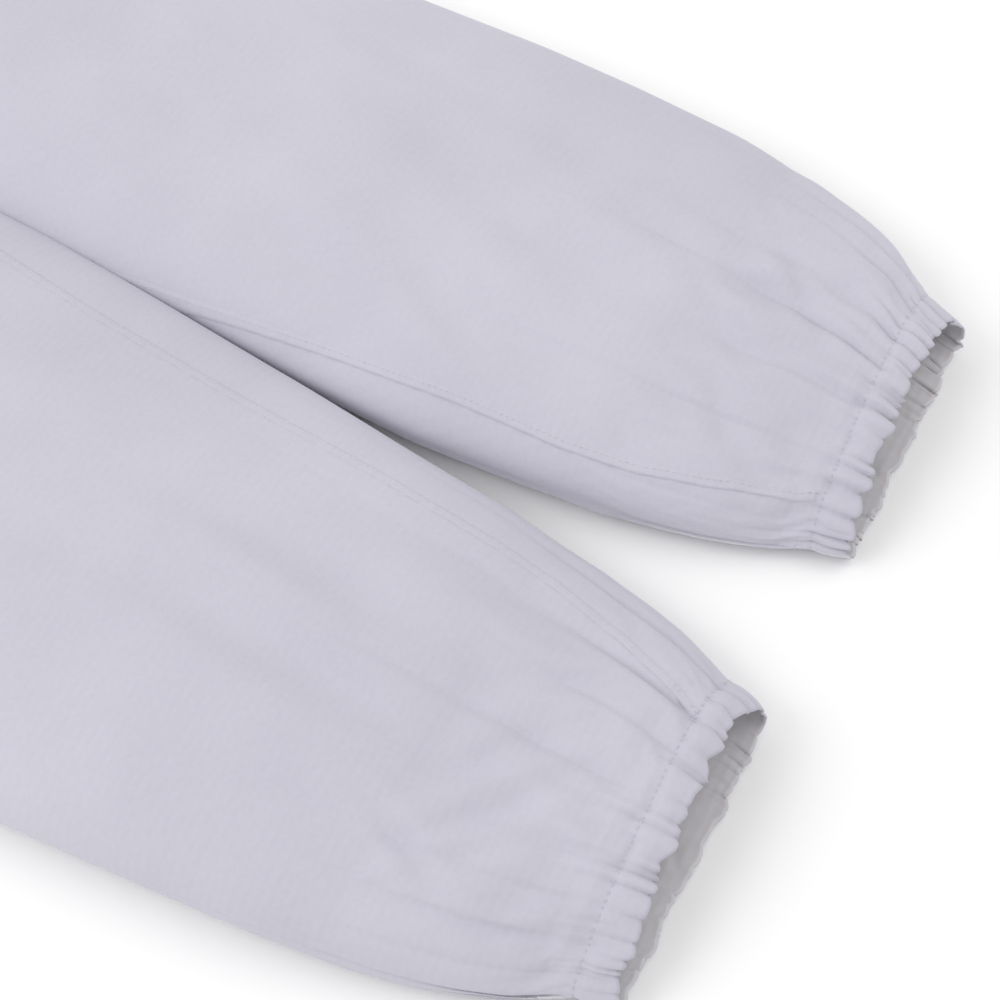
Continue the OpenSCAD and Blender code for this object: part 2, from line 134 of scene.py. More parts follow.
def domes(u, seed, count, jitter=0.35):
    """Rounded bulges of u in 0..1 with narrow creases between them: 0 at a crease, 1 on a bulge; and a random number per bulge."""
    rs = np.random.RandomState(seed)
    w = 1 + jitter * rs.uniform(-1, 1, count)
    e = np.concatenate([[0], np.cumsum(w)])
    e = (e / e[-1] + rs.rand()) % 1.0
    e = np.sort(e)
    k = np.searchsorted(e, u, side="right") - 1
    lo = np.where(k < 0, e[-1] - 1, e[k])
    hi = np.where(k + 1 >= len(e), e[0] + 1, e[(k + 1) % len(e)])
    hi = np.where(k < 0, e[0], hi)
    t = np.clip((u - lo) / np.maximum(hi - lo, 1e-6), 0, 1)
    r = rs.rand(len(e) + 1)
    return (4 * t * (1 - t)) ** 0.55, r[k % len(e)], np.minimum(t, 1 - t) * (hi - lo)


# ------------------------------------------------------------------ one trouser leg as a gathered tube
def collider_floor():
    me = bpy.data.meshes.new("sim_floor")
    me.from_pydata([(-3, -3, 0), (3, -3, 0), (3, 3, 0), (-3, 3, 0)], [], [(0, 1, 2, 3)])
    ob = bpy.data.objects.new("sim_floor", me)
    bpy.context.scene.collection.objects.link(ob)
    ob.modifiers.new("col", "COLLISION")
    ob.collision.thickness_outer = 0.001
    ob.collision.cloth_friction = 15
    return ob


def relax(ob, rest, pin, frames=18, pressure=0.0, bend=0.4, stiff=12.0, gravity=0.5, self_col=False):
    """Cloth run whose spring lengths come from `rest`; pin is one weight per point. The result is written to the mesh."""
    me = ob.data
    ob.shape_key_add(name="Basis")
    k = ob.shape_key_add(name="cut")
    k.data.foreach_set("co", rest.reshape(-1).astype(np.float32))
    k.value = 0
    vg = ob.vertex_groups.new(name="pin")
    for w in np.unique(np.round(pin, 2)):
        if w > 0:
            vg.add([int(i) for i in np.nonzero(np.abs(pin - w) < 0.006)[0]], float(w), "REPLACE")
    m = ob.modifiers.new("cloth", "CLOTH")
    s = m.settings
    s.quality = 6
    s.mass = 0.12
    s.air_damping = 2.0
    s.tension_stiffness = stiff
    s.compression_stiffness = stiff
    s.shear_stiffness = stiff * 0.4
    s.bending_stiffness = bend
    s.tension_damping = s.compression_damping = 10
    s.shear_damping = 8
    s.bending_damping = 1.0
    s.vertex_group_mass = "pin"
    s.rest_shape_key = k
    if pressure:
        s.use_pressure = True
        s.uniform_pressure_force = pressure
    s.effector_weights.gravity = gravity
    m.collision_settings.use_collision = True
    m.collision_settings.distance_min = 0.0015
    m.collision_settings.use_self_collision = self_col
    if self_col:
        m.collision_settings.self_distance_min = 0.0015
    m.point_cache.frame_start, m.point_cache.frame_end = 1, frames
    sc = bpy.context.scene
    sc.frame_start, sc.frame_end = 1, frames
    for f in range(1, frames + 1):
        sc.frame_set(f)
    dg = bpy.context.evaluated_depsgraph_get()
    ev = ob.evaluated_get(dg)
    out = np.zeros(len(me.vertices) * 3, np.float32)
    ev.data.vertices.foreach_get("co", out)
    ob.modifiers.remove(m)
    ob.shape_key_clear()
    ob.vertex_groups.clear()
    me.vertices.foreach_set("co", out)
    me.update()
    sc.frame_set(1)
    return out.reshape(-1, 3)


# ------------------------------------------------------------------ materials
def new_mat(name):
    m = bpy.data.materials.new(name)
    m.use_nodes = True
    nt = m.node_tree
    b = nt.nodes["Principled BSDF"]
    return m, nt, b


def node(nt, kind, **kw):
    n = nt.nodes.new(kind)
    for k, v in kw.items():
        if k in n.inputs:
            n.inputs[k].default_value = v
        else:
            setattr(n, k, v)
    return n


def cloth_mat(name, lo, hi, rough=0.92, sheen=0.18, weave=0.0011, bump=0.35, mottled=9.0, twill=True):
    """Woven cloth: a fine diagonal weave with slubs, slight cloudiness in the colour, a soft sheen."""
    m, nt, b = new_mat(name)
    L = nt.links.new
    tc = node(nt, "ShaderNodeTexCoord")
    cloud = node(nt, "ShaderNodeTexNoise", Scale=mottled, Detail=3.0, Roughness=0.55)
    L(tc.outputs["Object"], cloud.inputs["Vector"])
    slub = node(nt, "ShaderNodeTexNoise", Scale=420.0, Detail=2.0, Roughness=0.6)
    L(tc.outputs["Object"], slub.inputs["Vector"])
    mixn = node(nt, "ShaderNodeMath", operation="MULTIPLY_ADD")
    L(slub.outputs["Fac"], mixn.inputs[0])
    mixn.inputs[1].default_value = 0.30
    sub = node(nt, "ShaderNodeMath", operation="MULTIPLY")
    L(cloud.outputs["Fac"], sub.inputs[0])
    sub.inputs[1].default_value = 0.70
    L(sub.outputs[0], mixn.inputs[2])
    ramp = node(nt, "ShaderNodeValToRGB")
    ramp.color_ramp.elements[0].position = 0.34
    ramp.color_ramp.elements[0].color = (*lo, 1)
    ramp.color_ramp.elements[1].position = 0.66
    ramp.color_ramp.elements[1].color = (*hi, 1)
    L(mixn.outputs[0], ramp.inputs["Fac"])
    L(ramp.outputs["Color"], b.inputs["Base Color"])
    w1 = node(nt, "ShaderNodeTexWave", wave_type="BANDS", bands_direction="DIAGONAL" if twill else "X", Scale=1 / (weave * 20), Distortion=1.2, Detail=2.0)
    w1.inputs["Detail Scale"].default_value = 2.0
    L(tc.outputs["Object"], w1.inputs["Vector"])
    w2 = node(nt, "ShaderNodeTexWave", wave_type="BANDS", bands_direction="Y", Scale=1 / (weave * 14), Distortion=0.8, Detail=1.0)
    L(tc.outputs["Object"], w2.inputs["Vector"])
    add = node(nt, "ShaderNodeMath", operation="ADD")
    L(w1.outputs["Fac"], add.inputs[0])
    L(w2.outputs["Fac"], add.inputs[1])
    add2 = node(nt, "ShaderNodeMath", operation="ADD")
    L(add.outputs[0], add2.inputs[0])
    L(slub.outputs["Fac"], add2.inputs[1])
    bm = node(nt, "ShaderNodeBump", Strength=bump, Distance=0.00018)
    L(add2.outputs[0], bm.inputs["Height"])
    wr = node(nt, "ShaderNodeTexNoise", Scale=38.0, Detail=4.0, Roughness=0.5)
    L(tc.outputs["Object"], wr.inputs["Vector"])
    bm2 = node(nt, "ShaderNodeBump", Strength=0.10, Distance=0.003)
    L(wr.outputs["Fac"], bm2.inputs["Height"])
    L(bm.outputs["Normal"], bm2.inputs["Normal"])
    L(bm2.outputs["Normal"], b.inputs["Normal"])
    b.inputs["Roughness"].default_value = rough
    b.inputs["Sheen Weight"].default_value = sheen
    b.inputs["Sheen Roughness"].default_value = 0.5
    b.inputs["Specular IOR Level"].default_value = 0.25
    return m


def metal_mat(name, lo, hi, rough=0.34):
    m, nt, b = new_mat(name)
    L = nt.links.new
    tc = node(nt, "ShaderNodeTexCoord")
    n1 = node(nt, "ShaderNodeTexNoise", Scale=260.0, Detail=4.0, Roughness=0.6)
    L(tc.outputs["Object"], n1.inputs["Vector"])
    ramp = node(nt, "ShaderNodeValToRGB")
    ramp.color_ramp.elements[0].position = 0.3
    ramp.color_ramp.elements[0].color = (*lo, 1)
    ramp.color_ramp.elements[1].position = 0.7
    ramp.color_ramp.elements[1].color = (*hi, 1)
    L(n1.outputs["Fac"], ramp.inputs["Fac"])
    L(ramp.outputs["Color"], b.inputs["Base Color"])
    r = node(nt, "ShaderNodeMapRange")
    r.inputs["To Min"].default_value = rough - 0.08
    r.inputs["To Max"].default_value = rough + 0.14
    L(n1.outputs["Fac"], r.inputs["Value"])
    L(r.outputs["Result"], b.inputs["Roughness"])
    bm = node(nt, "ShaderNodeBump", Strength=0.12, Distance=0.0002)
    L(n1.outputs["Fac"], bm.inputs["Height"])
    L(bm.outputs["Normal"], b.inputs["Normal"])
    b.inputs["Metallic"].default_value = 1.0
    return m


CLOTH = cloth_mat("suit_cloth", (0.500, 0.490, 0.560), (0.548, 0.538, 0.610))
# Painted light: the inside faces of the legs, sleeves and hood are the same cloth as the outside, given a lighter
# colour to offset the shade that falls inside them
INSIDE_PAINTED_LIGHT = cloth_mat("suit_cloth_inside_painted_light", (0.60, 0.58, 0.61), (0.66, 0.64, 0.67), sheen=0.05)
THREAD = cloth_mat("stitch_thread", (0.53, 0.52, 0.59), (0.60, 0.59, 0.66), weave=0.0006, bump=0.6)
TAPE = cloth_mat("woven_tape", (0.62, 0.62, 0.66), (0.70, 0.70, 0.74), weave=0.0008, bump=0.7, twill=False)
ELASTIC = cloth_mat("ribbed_elastic", (0.64, 0.64, 0.66), (0.74, 0.74, 0.75), weave=0.0014, bump=0.9, twill=False)

# ------------------------------------------------------------------ stage, light, camera
floor_me = bpy.data.meshes.new("floor")
floor_me.from_pydata([(-14, -14, 0), (14, -14, 0), (14, 14, 0), (-14, 14, 0)], [], [(0, 1, 2, 3)])
floor = bpy.data.objects.new("floor", floor_me)
bpy.context.scene.collection.objects.link(floor)
floor.location.z = -0.0006
fm, fnt, fb = new_mat("pale_floor")
fb.inputs["Base Color"].default_value = (0.93, 0.93, 0.93, 1)
fb.inputs["Roughness"].default_value = 0.95
fb.inputs["Specular IOR Level"].default_value = 0.1
floor_me.materials.append(fm)

world = bpy.data.worlds.new("studio")
bpy.context.scene.world = world
world.use_nodes = True
bg = world.node_tree.nodes["Background"]
bg.inputs["Color"].default_value = (1.0, 1.0, 1.0, 1)
bg.inputs["Strength"].default_value = 0.84


def area(name, loc, target, size, power, color=(1, 1, 1)):
    d = bpy.data.lights.new(name, "AREA")
    d.shape = "RECTANGLE"
    d.size, d.size_y = size
    d.energy = power
    d.color = color
    o = bpy.data.objects.new(name, d)
    bpy.context.scene.collection.objects.link(o)
    o.location = loc
    o.rotation_euler = (Vector(target) - Vector(loc)).to_track_quat("-Z", "Y").to_euler()
    return o


area("key", (-1.9, 1.6, 2.3), (0, -0.3, 0), (2.2, 2.2), 52)
area("fill", (1.8, -2.2, 2.4), (0, -0.4, 0), (2.6, 2.6), 20)

cam_d = bpy.data.cameras.new("camera")
cam = bpy.data.objects.new("camera", cam_d)
bpy.context.scene.collection.objects.link(cam)
cam_d.lens = 72
cam_d.sensor_width = 36
cam_d.sensor_fit = "HORIZONTAL"
cam.location = (-0.457, -0.085 - OY, 0.809)
cam.rotation_euler = (Vector((0.007, 0.161 - OY, 0)) - cam.location).to_track_quat("-Z", "Y").to_euler()
cam_d.clip_start, cam_d.clip_end = 0.01, 100
bpy.context.scene.camera = cam
bpy.context.scene.view_settings.view_transform = "Standard"
bpy.context.scene.view_settings.look = "None"

# ------------------------------------------------------------------ the cloth halves, ankle to neck
BODY = [(745, 309), (765, 309), (795, 312), (850, 312), (950, 302), (1040, 290), (1110, 295), (1180, 297), (1215, 288),
        (1245, 272), (1275, 256), (1300, 254), (1340, 258), (1380, 263), (1450, 263), (1490, 258), (1505, 222), (1520, 181), (1532, 148), (1546, 114)]
ZTOP = 61.5
NT = 300


def sstep(a, b, v):
    t = np.clip((np.asarray(v, float) - a) / (b - a), 0, 1)
    return t * t * (3 - 2 * t)


def creases(seed, n, xr, yr, ang, length, width, amp, spread=18):
    """Random soft creases: (x, y, direction in degrees, half length, half width, height), in mm."""
    rs = np.random.RandomState(seed)
    return [(rs.uniform(*xr), rs.uniform(*yr), ang + rs.uniform(-spread, spread), rs.uniform(*length), rs.uniform(*width), rs.uniform(*amp) * rs.choice([-1, 1]))
            for _ in range(n)]


def fold_height(x, y, folds):
    z = np.zeros(np.broadcast(x, y).shape)
    for (fx, fy, a, L, w, h) in folds:
        ca, sa = math.cos(math.radians(a)), math.sin(math.radians(a))
        dx, dy = x - fx, y - fy
        s = dx * ca + dy * sa
        t = -dx * sa + dy * ca + 0.0009 * s * s
        z = z + h * np.exp(-(s / L) ** 2) * (np.exp(-(t / w) ** 2) - 0.55 * np.exp(-((t - 1.6 * w) / (1.1 * w)) ** 2))
    return z


def lumps(x, y, seed, scale):
    """Slow unevenness of cloth that was laid down by hand, roughly -1 to 1."""
    rs = np.random.RandomState(seed)
    z = 0
    for k in range(7):
        a = rs.uniform(0, 2 * np.pi)
        f = rs.uniform(0.6, 1.7) / scale
        z = z + np.sin(2 * np.pi * f * (x * math.cos(a) + y * math.sin(a)) + rs.uniform(0, 6.28))
    return z / 3.5


def crumple(n, y, seed, scale):
    """Small dents of cloth near a gathered edge, round n places, roughly -1 to 1."""
    a = np.arange(n) * (2 * np.pi / NT)
    r = 360.0 / (2 * np.pi) / scale
    return np.array([noise.noise(Vector((r * math.cos(t) + seed, r * math.sin(t) - seed, y / scale * 0.8))) for t in a]) * 1.9


def half_grid(side, seed):
    """One half of the suit as rows of points: side +1 is the wearer's left. Columns run from the inseam under the leg,
    round the outer edge and over the top back to the inseam; above the crotch the two ends part into the back seam and the front edge."""
    rows = LEFT if side > 0 else RIGHT
    rise = 50.0
    ys = np.concatenate([np.arange(-1, 30, 1.8), np.arange(30, 120, 3.0), np.arange(120, 300, 6.0), np.arange(300, 1542, 11.0), [1546.0]])
    n = NT + 1
    q = np.arange(n) / NT
    phi = np.pi + 2 * np.pi * q
    # share of the way round the hem, by length, so that the gathers are even in size
    hx, hz = 74 * np.cos(phi), np.where(np.sin(phi) >= 0, 9 + 22 * np.abs(np.sin(phi)) ** 0.86, 9 - 8 * np.abs(np.sin(phi)) ** 0.45)
    arc = np.concatenate([[0], np.cumsum(np.hypot(np.diff(hx), np.diff(hz)))])
    u = (arc / arc[-1] + 0.31) % 1.0
    g1, r1, e1 = domes(u, seed, 42, 0.78)
    g2, r2, e2 = domes(u, seed + 1, 22, 0.7)
    g3, r3, e3 = domes(u, seed + 2, 11, 0.65)
    f_mid = wave(u, seed + 5, 12)
    c, s = np.cos(phi), np.sin(phi)
    top = s >= 0
    co = np.zeros((len(ys), n, 3))
    fx = creases(seed + 10, 16, (60, 250), (160, 700), 88, (60, 150), (12, 24), (0.8, 1.9), 16)
    fx += creases(seed + 15, 13, (65, 200), (28, 110), 72, (16, 42), (5, 10), (0.9, 2.3), 42)
    fx += creases(seed + 16, 7, (60, 230), (110, 260), 80, (50, 90), (10, 18), (1.2, 2.6), 24)
    fx += creases(seed + 11, 8, (30, 200), (640, 860), 62, (60, 120), (10, 18), (1.2, 2.4), 20)
    fx += creases(seed + 12, 10, (40, 230), (880, 1260), 12, (50, 110), (10, 20), (1.0, 2.2), 24)
    fx += creases(seed + 13, 8, (110, 220), (1230, 1440), -48, (50, 100), (9, 16), (1.4, 2.6), 16)
    fx += creases(seed + 14, 5, (20, 120), (1300, 1500), 78, (40, 80), (9, 16), (0.8, 1.8), 12)
    for j, y in enumerate(ys):
        t = float(sstep(735, 822, y))
        if y < 745:
            xo, xi = float(smooth_at(rows, y, 1)), float(smooth_at(rows, y, 2))
        else:
            w = float(np.interp(y, [b[0] for b in BODY], [b[1] for b in BODY])) if y > 1480 else float(smooth_at([(b[0], b[1]) for b in BODY], y, 1))
            xo, xi = side * w, 0.0
            if y < 780:
                k = float(sstep(735, 780, y))
                xo = (1 - k) * float(smooth_at(rows, y, 1)) + k * side * w
                xi = (1 - k) * float(smooth_at(rows, y, 2))
        h = rise * float(smooth_at(rows, y, 3)) if y < 895 else rise * 1.14
        cx, a = (xo + xi) / 2, abs(xo - xi) / 2
        zm = 0.30 * h
        z_leg = np.where(top, zm + (h - zm) * np.abs(s) ** 0.86, zm - (zm - 1.2) * np.abs(s) ** 0.45)
        x = cx + side * a * np.sign(c) * np.abs(c) ** 0.94
        if y > 822:      # the front edges part for the zip; the back seam stays closed
            xz = 10.5 * float(sstep(822, 842, y))
            k = (abs(xo) - xz) / abs(xo)
            x = np.where(top, side * (abs(xo) - (abs(xo) - np.abs(x)) * k), x)
        W = abs(xo)
        edge = np.sqrt(np.clip(1 - (np.abs(x) / (W + 0.01)) ** 2, 0, 1))
        zt = ZTOP if y < 1500 else ZTOP
        z_body = np.where(top, 9 + (zt - 9) * edge ** 0.82, 9 - 8.2 * np.clip(edge, 0, 1) ** 0.35)
        # the mouth of each leg lies more shut at one end
        z_leg = np.where(top, z_leg * (1 + side * 0.26 * c * math.exp(-(max(y, 0) / 55.0) ** 2)), z_leg)
        z = (1 - t) * z_leg + t * z_body
        nx, nz = side * c, s.copy()
        back = 9.0 * (1 + side * 0.35 * c) * np.clip(s, 0, 1) ** 0.7
        yc = max(y, 0)
        yy = y + back * math.exp(-yc / 45.0)
        scal = math.exp(-(yc / 9.0) ** 2)
        curl = 1.5 if side > 0 else 1.0
        yy = yy - scal * ((1.6 + 2.0 * r1) * curl * (g1 - 0.5) * np.where(s < -0.25, 0.6, 1.0) + 1.5 * f_mid)
        # puckers on the casing, gathers that run up from it, and a few long soft folds
        L1 = 16 + 30 * r1
        L2 = 34 + 62 * r2
        L3 = 75 + 100 * r3
        d = curl * (0.9 + 2.4 * r1) * (g1 - 0.55) * np.exp(-(yc / L1) ** 2)
        d = d + (1.2 + 3.8 * r2) * (g2 - 0.6) * np.exp(-(yc / L2) ** 2) * (0.5 + 0.5 * float(sstep(0, 24, y)))
        d = d + (2.0 + 4.0 * r3) * (g3 - 0.65) * np.exp(-(yc / L3) ** 2) * float(sstep(4, 44, y))
        tt = (y + 1) / 17.0
        if tt < 1:
            d = d + (1.2 + 1.4 * r2) * math.sin(math.pi * min(1, max(0, tt))) ** 0.8
        d = d - (0.5 + 1.0 * r1) * np.exp(-((y - 17.5 - 3.0 * f_mid) / 3.4) ** 2)
        d = d + math.exp(-(yc / 52.0) ** 2) * (0.8 * crumple(n, y, seed + 31, 13) + 0.7 * crumple(n, y, seed + 32, 27))
        under = np.where(s < -0.25, 0.3, 1.0)
        x2, z2 = x + nx * d * 0.8, z + nz * d * under
        # soft creases and unevenness on the upper side, fading at the zip
        up = np.clip(s, 0, 1) ** 0.7 * float(sstep(14, 60, y))
        keep = 1 - t * (1 - sstep(6, 45, np.abs(x)))
        z2 = z2 + up * keep * (fold_height(np.abs(x), yy, fx) + 1.5 * lumps(x, yy, seed + 20, 190) - 0.4)
        co[j, :, 0], co[j, :, 1], co[j, :, 2] = x2, yy, np.maximum(z2, 0.5)
    return ys, co


def weld_inseam(ys, co, up_to=770):
    """The two ends of each row below the crotch are one seam."""
    for j, y in enumerate(ys):
        if y <= up_to:
            m = (co[j, 0] + co[j, -1]) / 2
            co[j, 0] = co[j, -1] = m
    return co


def half_piece(side, seed):
    ys, co = half_grid(side, seed)
    co = weld_inseam(ys, co)
    n = NT + 1
    J = int(np.searchsorted(ys, 260))
    # a cloth run on the lower leg: the cloth is cut wider than the gathered hem and buckles into folds
    sub = co[:J].copy()
    cut = sub.copy()
    for j in range(J):
        y = ys[j]
        full = 1 + 0.20 * math.exp(-(max(y - 12, 0) / 38.0) ** 1.6) if y > 16 else 1.05
        cxm = sub[j, :, 0].mean()
        cut[j, :, 0] = cxm + (sub[j, :, 0] - cxm) * full
        cut[j, :, 2] = sub[j, :, 2] * full
    m3 = lambda p: (p[:, :NT] / 1000 - np.array([0, OY, 0])).reshape(-1, 3)
    P, R = m3(sub), m3(cut)
    me = bpy.data.meshes.new("sim")
    me.from_pydata([tuple(v) for v in P], [], grid_faces(J, NT, True))
    ob = bpy.data.objects.new("sim", me)
    bpy.context.scene.collection.objects.link(ob)
    pin = np.zeros((J, NT))
    for j in range(J):
        y = ys[j]
        pin[j] = float(sstep(90, 240, y))
        if y < 18:
            pin[j] = 0.55
        pin[j] = np.maximum(pin[j], np.where(np.sin(np.pi + 2 * np.pi * np.arange(NT) / NT) < -0.15, 0.9, 0))
    out = relax(ob, R, pin.ravel(), frames=10, pressure=0.0, bend=0.25, stiff=10, gravity=0.1)
    bpy.data.objects.remove(ob)
    out = out.reshape(J, NT, 3)
    out = (out + np.array([0, OY, 0])) * 1000
    # a point moves at most 9 mm, and the run fades out towards the knee
    d = out - sub[:, :NT]
    ln = np.linalg.norm(d, axis=2, keepdims=True)
    d *= np.minimum(1, 5.0 / np.maximum(ln, 1e-6))
    for _ in range(3):
        d = 0.5 * d + 0.125 * (np.roll(d, 1, 1) + np.roll(d, -1, 1) + np.concatenate([d[:1], d[:-1]]) + np.concatenate([d[1:], d[-1:]]))
    fade = (1 - sstep(90, 220, ys[:J]))[:, None, None]
    sub[:, :NT] += d * fade
    sub[:, NT] = sub[:, 0]
    sub[:, :, 2] = np.maximum(sub[:, :, 2], 0.5)
    co[:J] = sub
    P = (co / 1000 - np.array([0, OY, 0])).reshape(-1, 3)
    faces = grid_faces(len(ys), n, False)
    if side < 0:
        faces = [f[::-1] for f in faces]
    return ys, co, P, faces


def thicken(ob, t=0.0009, off=-1, inner=None):
    m = ob.modifiers.new("solid", "SOLIDIFY")
    m.thickness = t
    m.offset = off
    if inner is not None:
        ob.data.materials.append(inner)
        m.material_offset = 1
        m.material_offset_rim = 0
    apply_mods(ob)


def weld(ob, d=0.00005):
    bm = bmesh.new()
    bm.from_mesh(ob.data)
    bmesh.ops.remove_doubles(bm, verts=bm.verts, dist=d)
    bmesh.ops.recalc_face_normals(bm, faces=bm.faces)
    bm.to_mesh(ob.data)
    bm.free()


sim_floor = collider_floor()
HALF = {}
for side, nm, seed in ((1, "left", 41), (-1, "right", 7)):
    ys, co, P, faces = half_piece(side, seed)
    ob = make("suit_" + nm, P, faces, mats=(CLOTH,))
    weld(ob)
    HALF[side] = (ys, co, ob)
bpy.data.objects.remove(sim_floor)
for side, nm in ((1, "left"), (-1, "right")):
    ys, co, ob = HALF[side]
    thicken(ob, 0.0009, -1, INSIDE_PAINTED_LIGHT)
    area_m2 = sum(p.area for p in ob.data.polygons) / 2
    print("area", nm, round(area_m2, 3))

# ------------------------------------------------------------------ strips and stitches that follow the cloth
from mathutils.bvhtree import BVHTree


def tree_of(*obs):
    vs, fs = [], []
    for ob in obs:
        o = len(vs)
        vs += [v.co.copy() for v in ob.data.vertices]
        fs += [tuple(o + i for i in p.vertices) for p in ob.data.polygons]
    return BVHTree.FromPolygons(vs, fs)


def drop(tree, x, y, default=None):
    """Height and normal of the cloth under a point, x and y in metres."""
    hit = tree.ray_cast(Vector((x, y, 0.5)), Vector((0, 0, -1)))
    if hit[0] is None:
        return (default if default is not None else 0.001), Vector((0, 0, 1))
    n = hit[1] if hit[1].z > 0 else -hit[1]
    return hit[0].z, n


def resample(path, step):
    p = np.array(path, float)
    seg = np.linalg.norm(np.diff(p, axis=0), axis=1)
    s = np.concatenate([[0], np.cumsum(seg)])
    n = max(2, int(round(s[-1] / step)) + 1)
    t = np.linspace(0, s[-1], n)
    q = np.stack([np.interp(t, s, p[:, i]) for i in range(p.shape[1])], 1)
    for _ in range(3):
        if n > 4:
            q[1:-1] = 0.25 * q[:-2] + 0.5 * q[1:-1] + 0.25 * q[2:]
    return q


def side_dirs(q, closed=False):
    if closed:
        t = np.roll(q, -1, 0) - np.roll(q, 1, 0)
    else:
        t = np.gradient(q, axis=0)
    t /= np.maximum(np.linalg.norm(t, axis=1, keepdims=True), 1e-9)
    return t, np.stack([-t[:, 1], t[:, 0]], 1)


def mm(x, y):
    return x / 1000.0, y / 1000.0 - OY


def strip(name, path, width, tree, lift=0.55, step=2.5, seed=1, pucker=0.25, mat=None, cols=7):
    """A felled seam or a facing: a thin raised strip along a path of (x, y) in mm, lying on the cloth."""
    q = resample(path, step)
    t, sd = side_dirs(q)
    rs = np.random.RandomState(seed)
    prof = np.array([0.02] + list(np.linspace(1.0, 0.12, cols - 2)) + [0.0])
    off = np.concatenate([[-0.52], np.linspace(-0.46, 0.46, cols - 2), [0.52]]) * width
    ph = rs.uniform(0, 6.28, 3)
    co = []
    s = 0
    for i in range(len(q)):
        s += step
        pk = pucker * (math.sin(s * 0.55 + ph[0]) + 0.7 * math.sin(s * 0.31 + ph[1]))
        for k in range(cols):
            x, y = q[i] + sd[i] * off[k]
            X, Y = mm(x, y)
            z, n = drop(tree, X, Y)
            e = min(1, i / 4.0, (len(q) - 1 - i) / 4.0)
            h = e * (lift * prof[k] + (pk * 0.5 * prof[k] if 0 < k < cols - 1 else 0)) / 1000
            co.append(Vector((X, Y, z)) + n * (h + 0.00012 * (1 if 0 < k < cols - 1 else -1)))
    f = grid_faces(len(q), cols, False)
    ob = make(name, co, f, mats=(mat or CLOTH,))
    return ob


def stitches(name, paths, tree, pitch=3.2, length=2.5, width=0.55, lift=0.35, mat=None):
    """Rows of single stitches: short rounded threads that lie on the cloth and dip in at their ends."""
    co, f = [], []
    for path in paths:
        q = resample(path, pitch)
        t, sd = side_dirs(q)
        for i in range(len(q)):
            base = len(co)
            for a, h, w in ((-0.5, -0.10, 0.35), (-0.22, lift, 1.0), (0.22, lift, 1.0), (0.5, -0.10, 0.35)):
                cx, cy = q[i] + t[i] * a * length
                X, Y = mm(cx, cy)
                z, n = drop(tree, X, Y)
                for sgn, hh in ((-0.5, 0.0), (0, 0.22 * w), (0.5, 0.0)):
                    px, py = np.array([cx, cy]) + sd[i] * sgn * width * w
                    X2, Y2 = mm(px, py)
                    co.append(Vector((X2, Y2, z)) + n * ((h + hh) / 1000 + 0.0001))
            for j in range(3):
                for k in range(2):
                    a0 = base + j * 3 + k
                    f.append((a0, a0 + 1, a0 + 4, a0 + 3))
    return make(name, co, f, mats=(mat or THREAD,))


BLENDS = {1: [], -1: []}
INSEAM = {-1: [(-10, 560), (-4, 500), (-2, 444), (-14, 372), (-20, 312), (-26, 252), (-30, 200), (-34, 166), (-42, 109), (-54, 66), (-66, 34), (-72, 24)],
          1: [(24, 560), (22, 500), (21, 420), (22, 345), (24, 294), (26, 255), (28, 200), (29, 140), (35, 102), (45, 65), (57, 34), (63, 24)]}
for side, nm in ((1, "left"), (-1, "right")):
    ys, co, ob = HALF[side]
    tr = tree_of(ob)
    s1 = strip("inseam_" + nm, INSEAM[side], 5.0, tr, lift=0.42, seed=5 + side)
    q = np.array(INSEAM[side], float)
    st = stitches("inseam_stitches_" + nm, [[(x + 1.1, y) for x, y in INSEAM[side]]], tr, lift=0.22, width=0.45)
    BLENDS[side] += [s1, st]
    HALF[side] = (ys, co, ob, tr)


# ------------------------------------------------------------------ sleeves
SL = [(-602, 51.5, 30), (-592, 53, 31), (-582, 55, 32.5), (-560, 62.5, 35), (-530, 70.5, 37), (-480, 76, 39), (-400, 81, 41),
      (-300, 87, 43), (-200, 92, 45), (-100, 95, 46), (0, 96, 46)]
NS = 220
SHX, SHY, ARM = 300.0, 1390.0, 45.0


def arm_place(side, x, y):
    """A point of the sleeve's own frame, in mm, to the suit's frame."""
    a = math.radians(ARM)
    X = SHX + x * math.cos(a) - y * math.sin(a)
    Y = SHY + x * math.sin(a) + y * math.cos(a)
    return side * X, Y


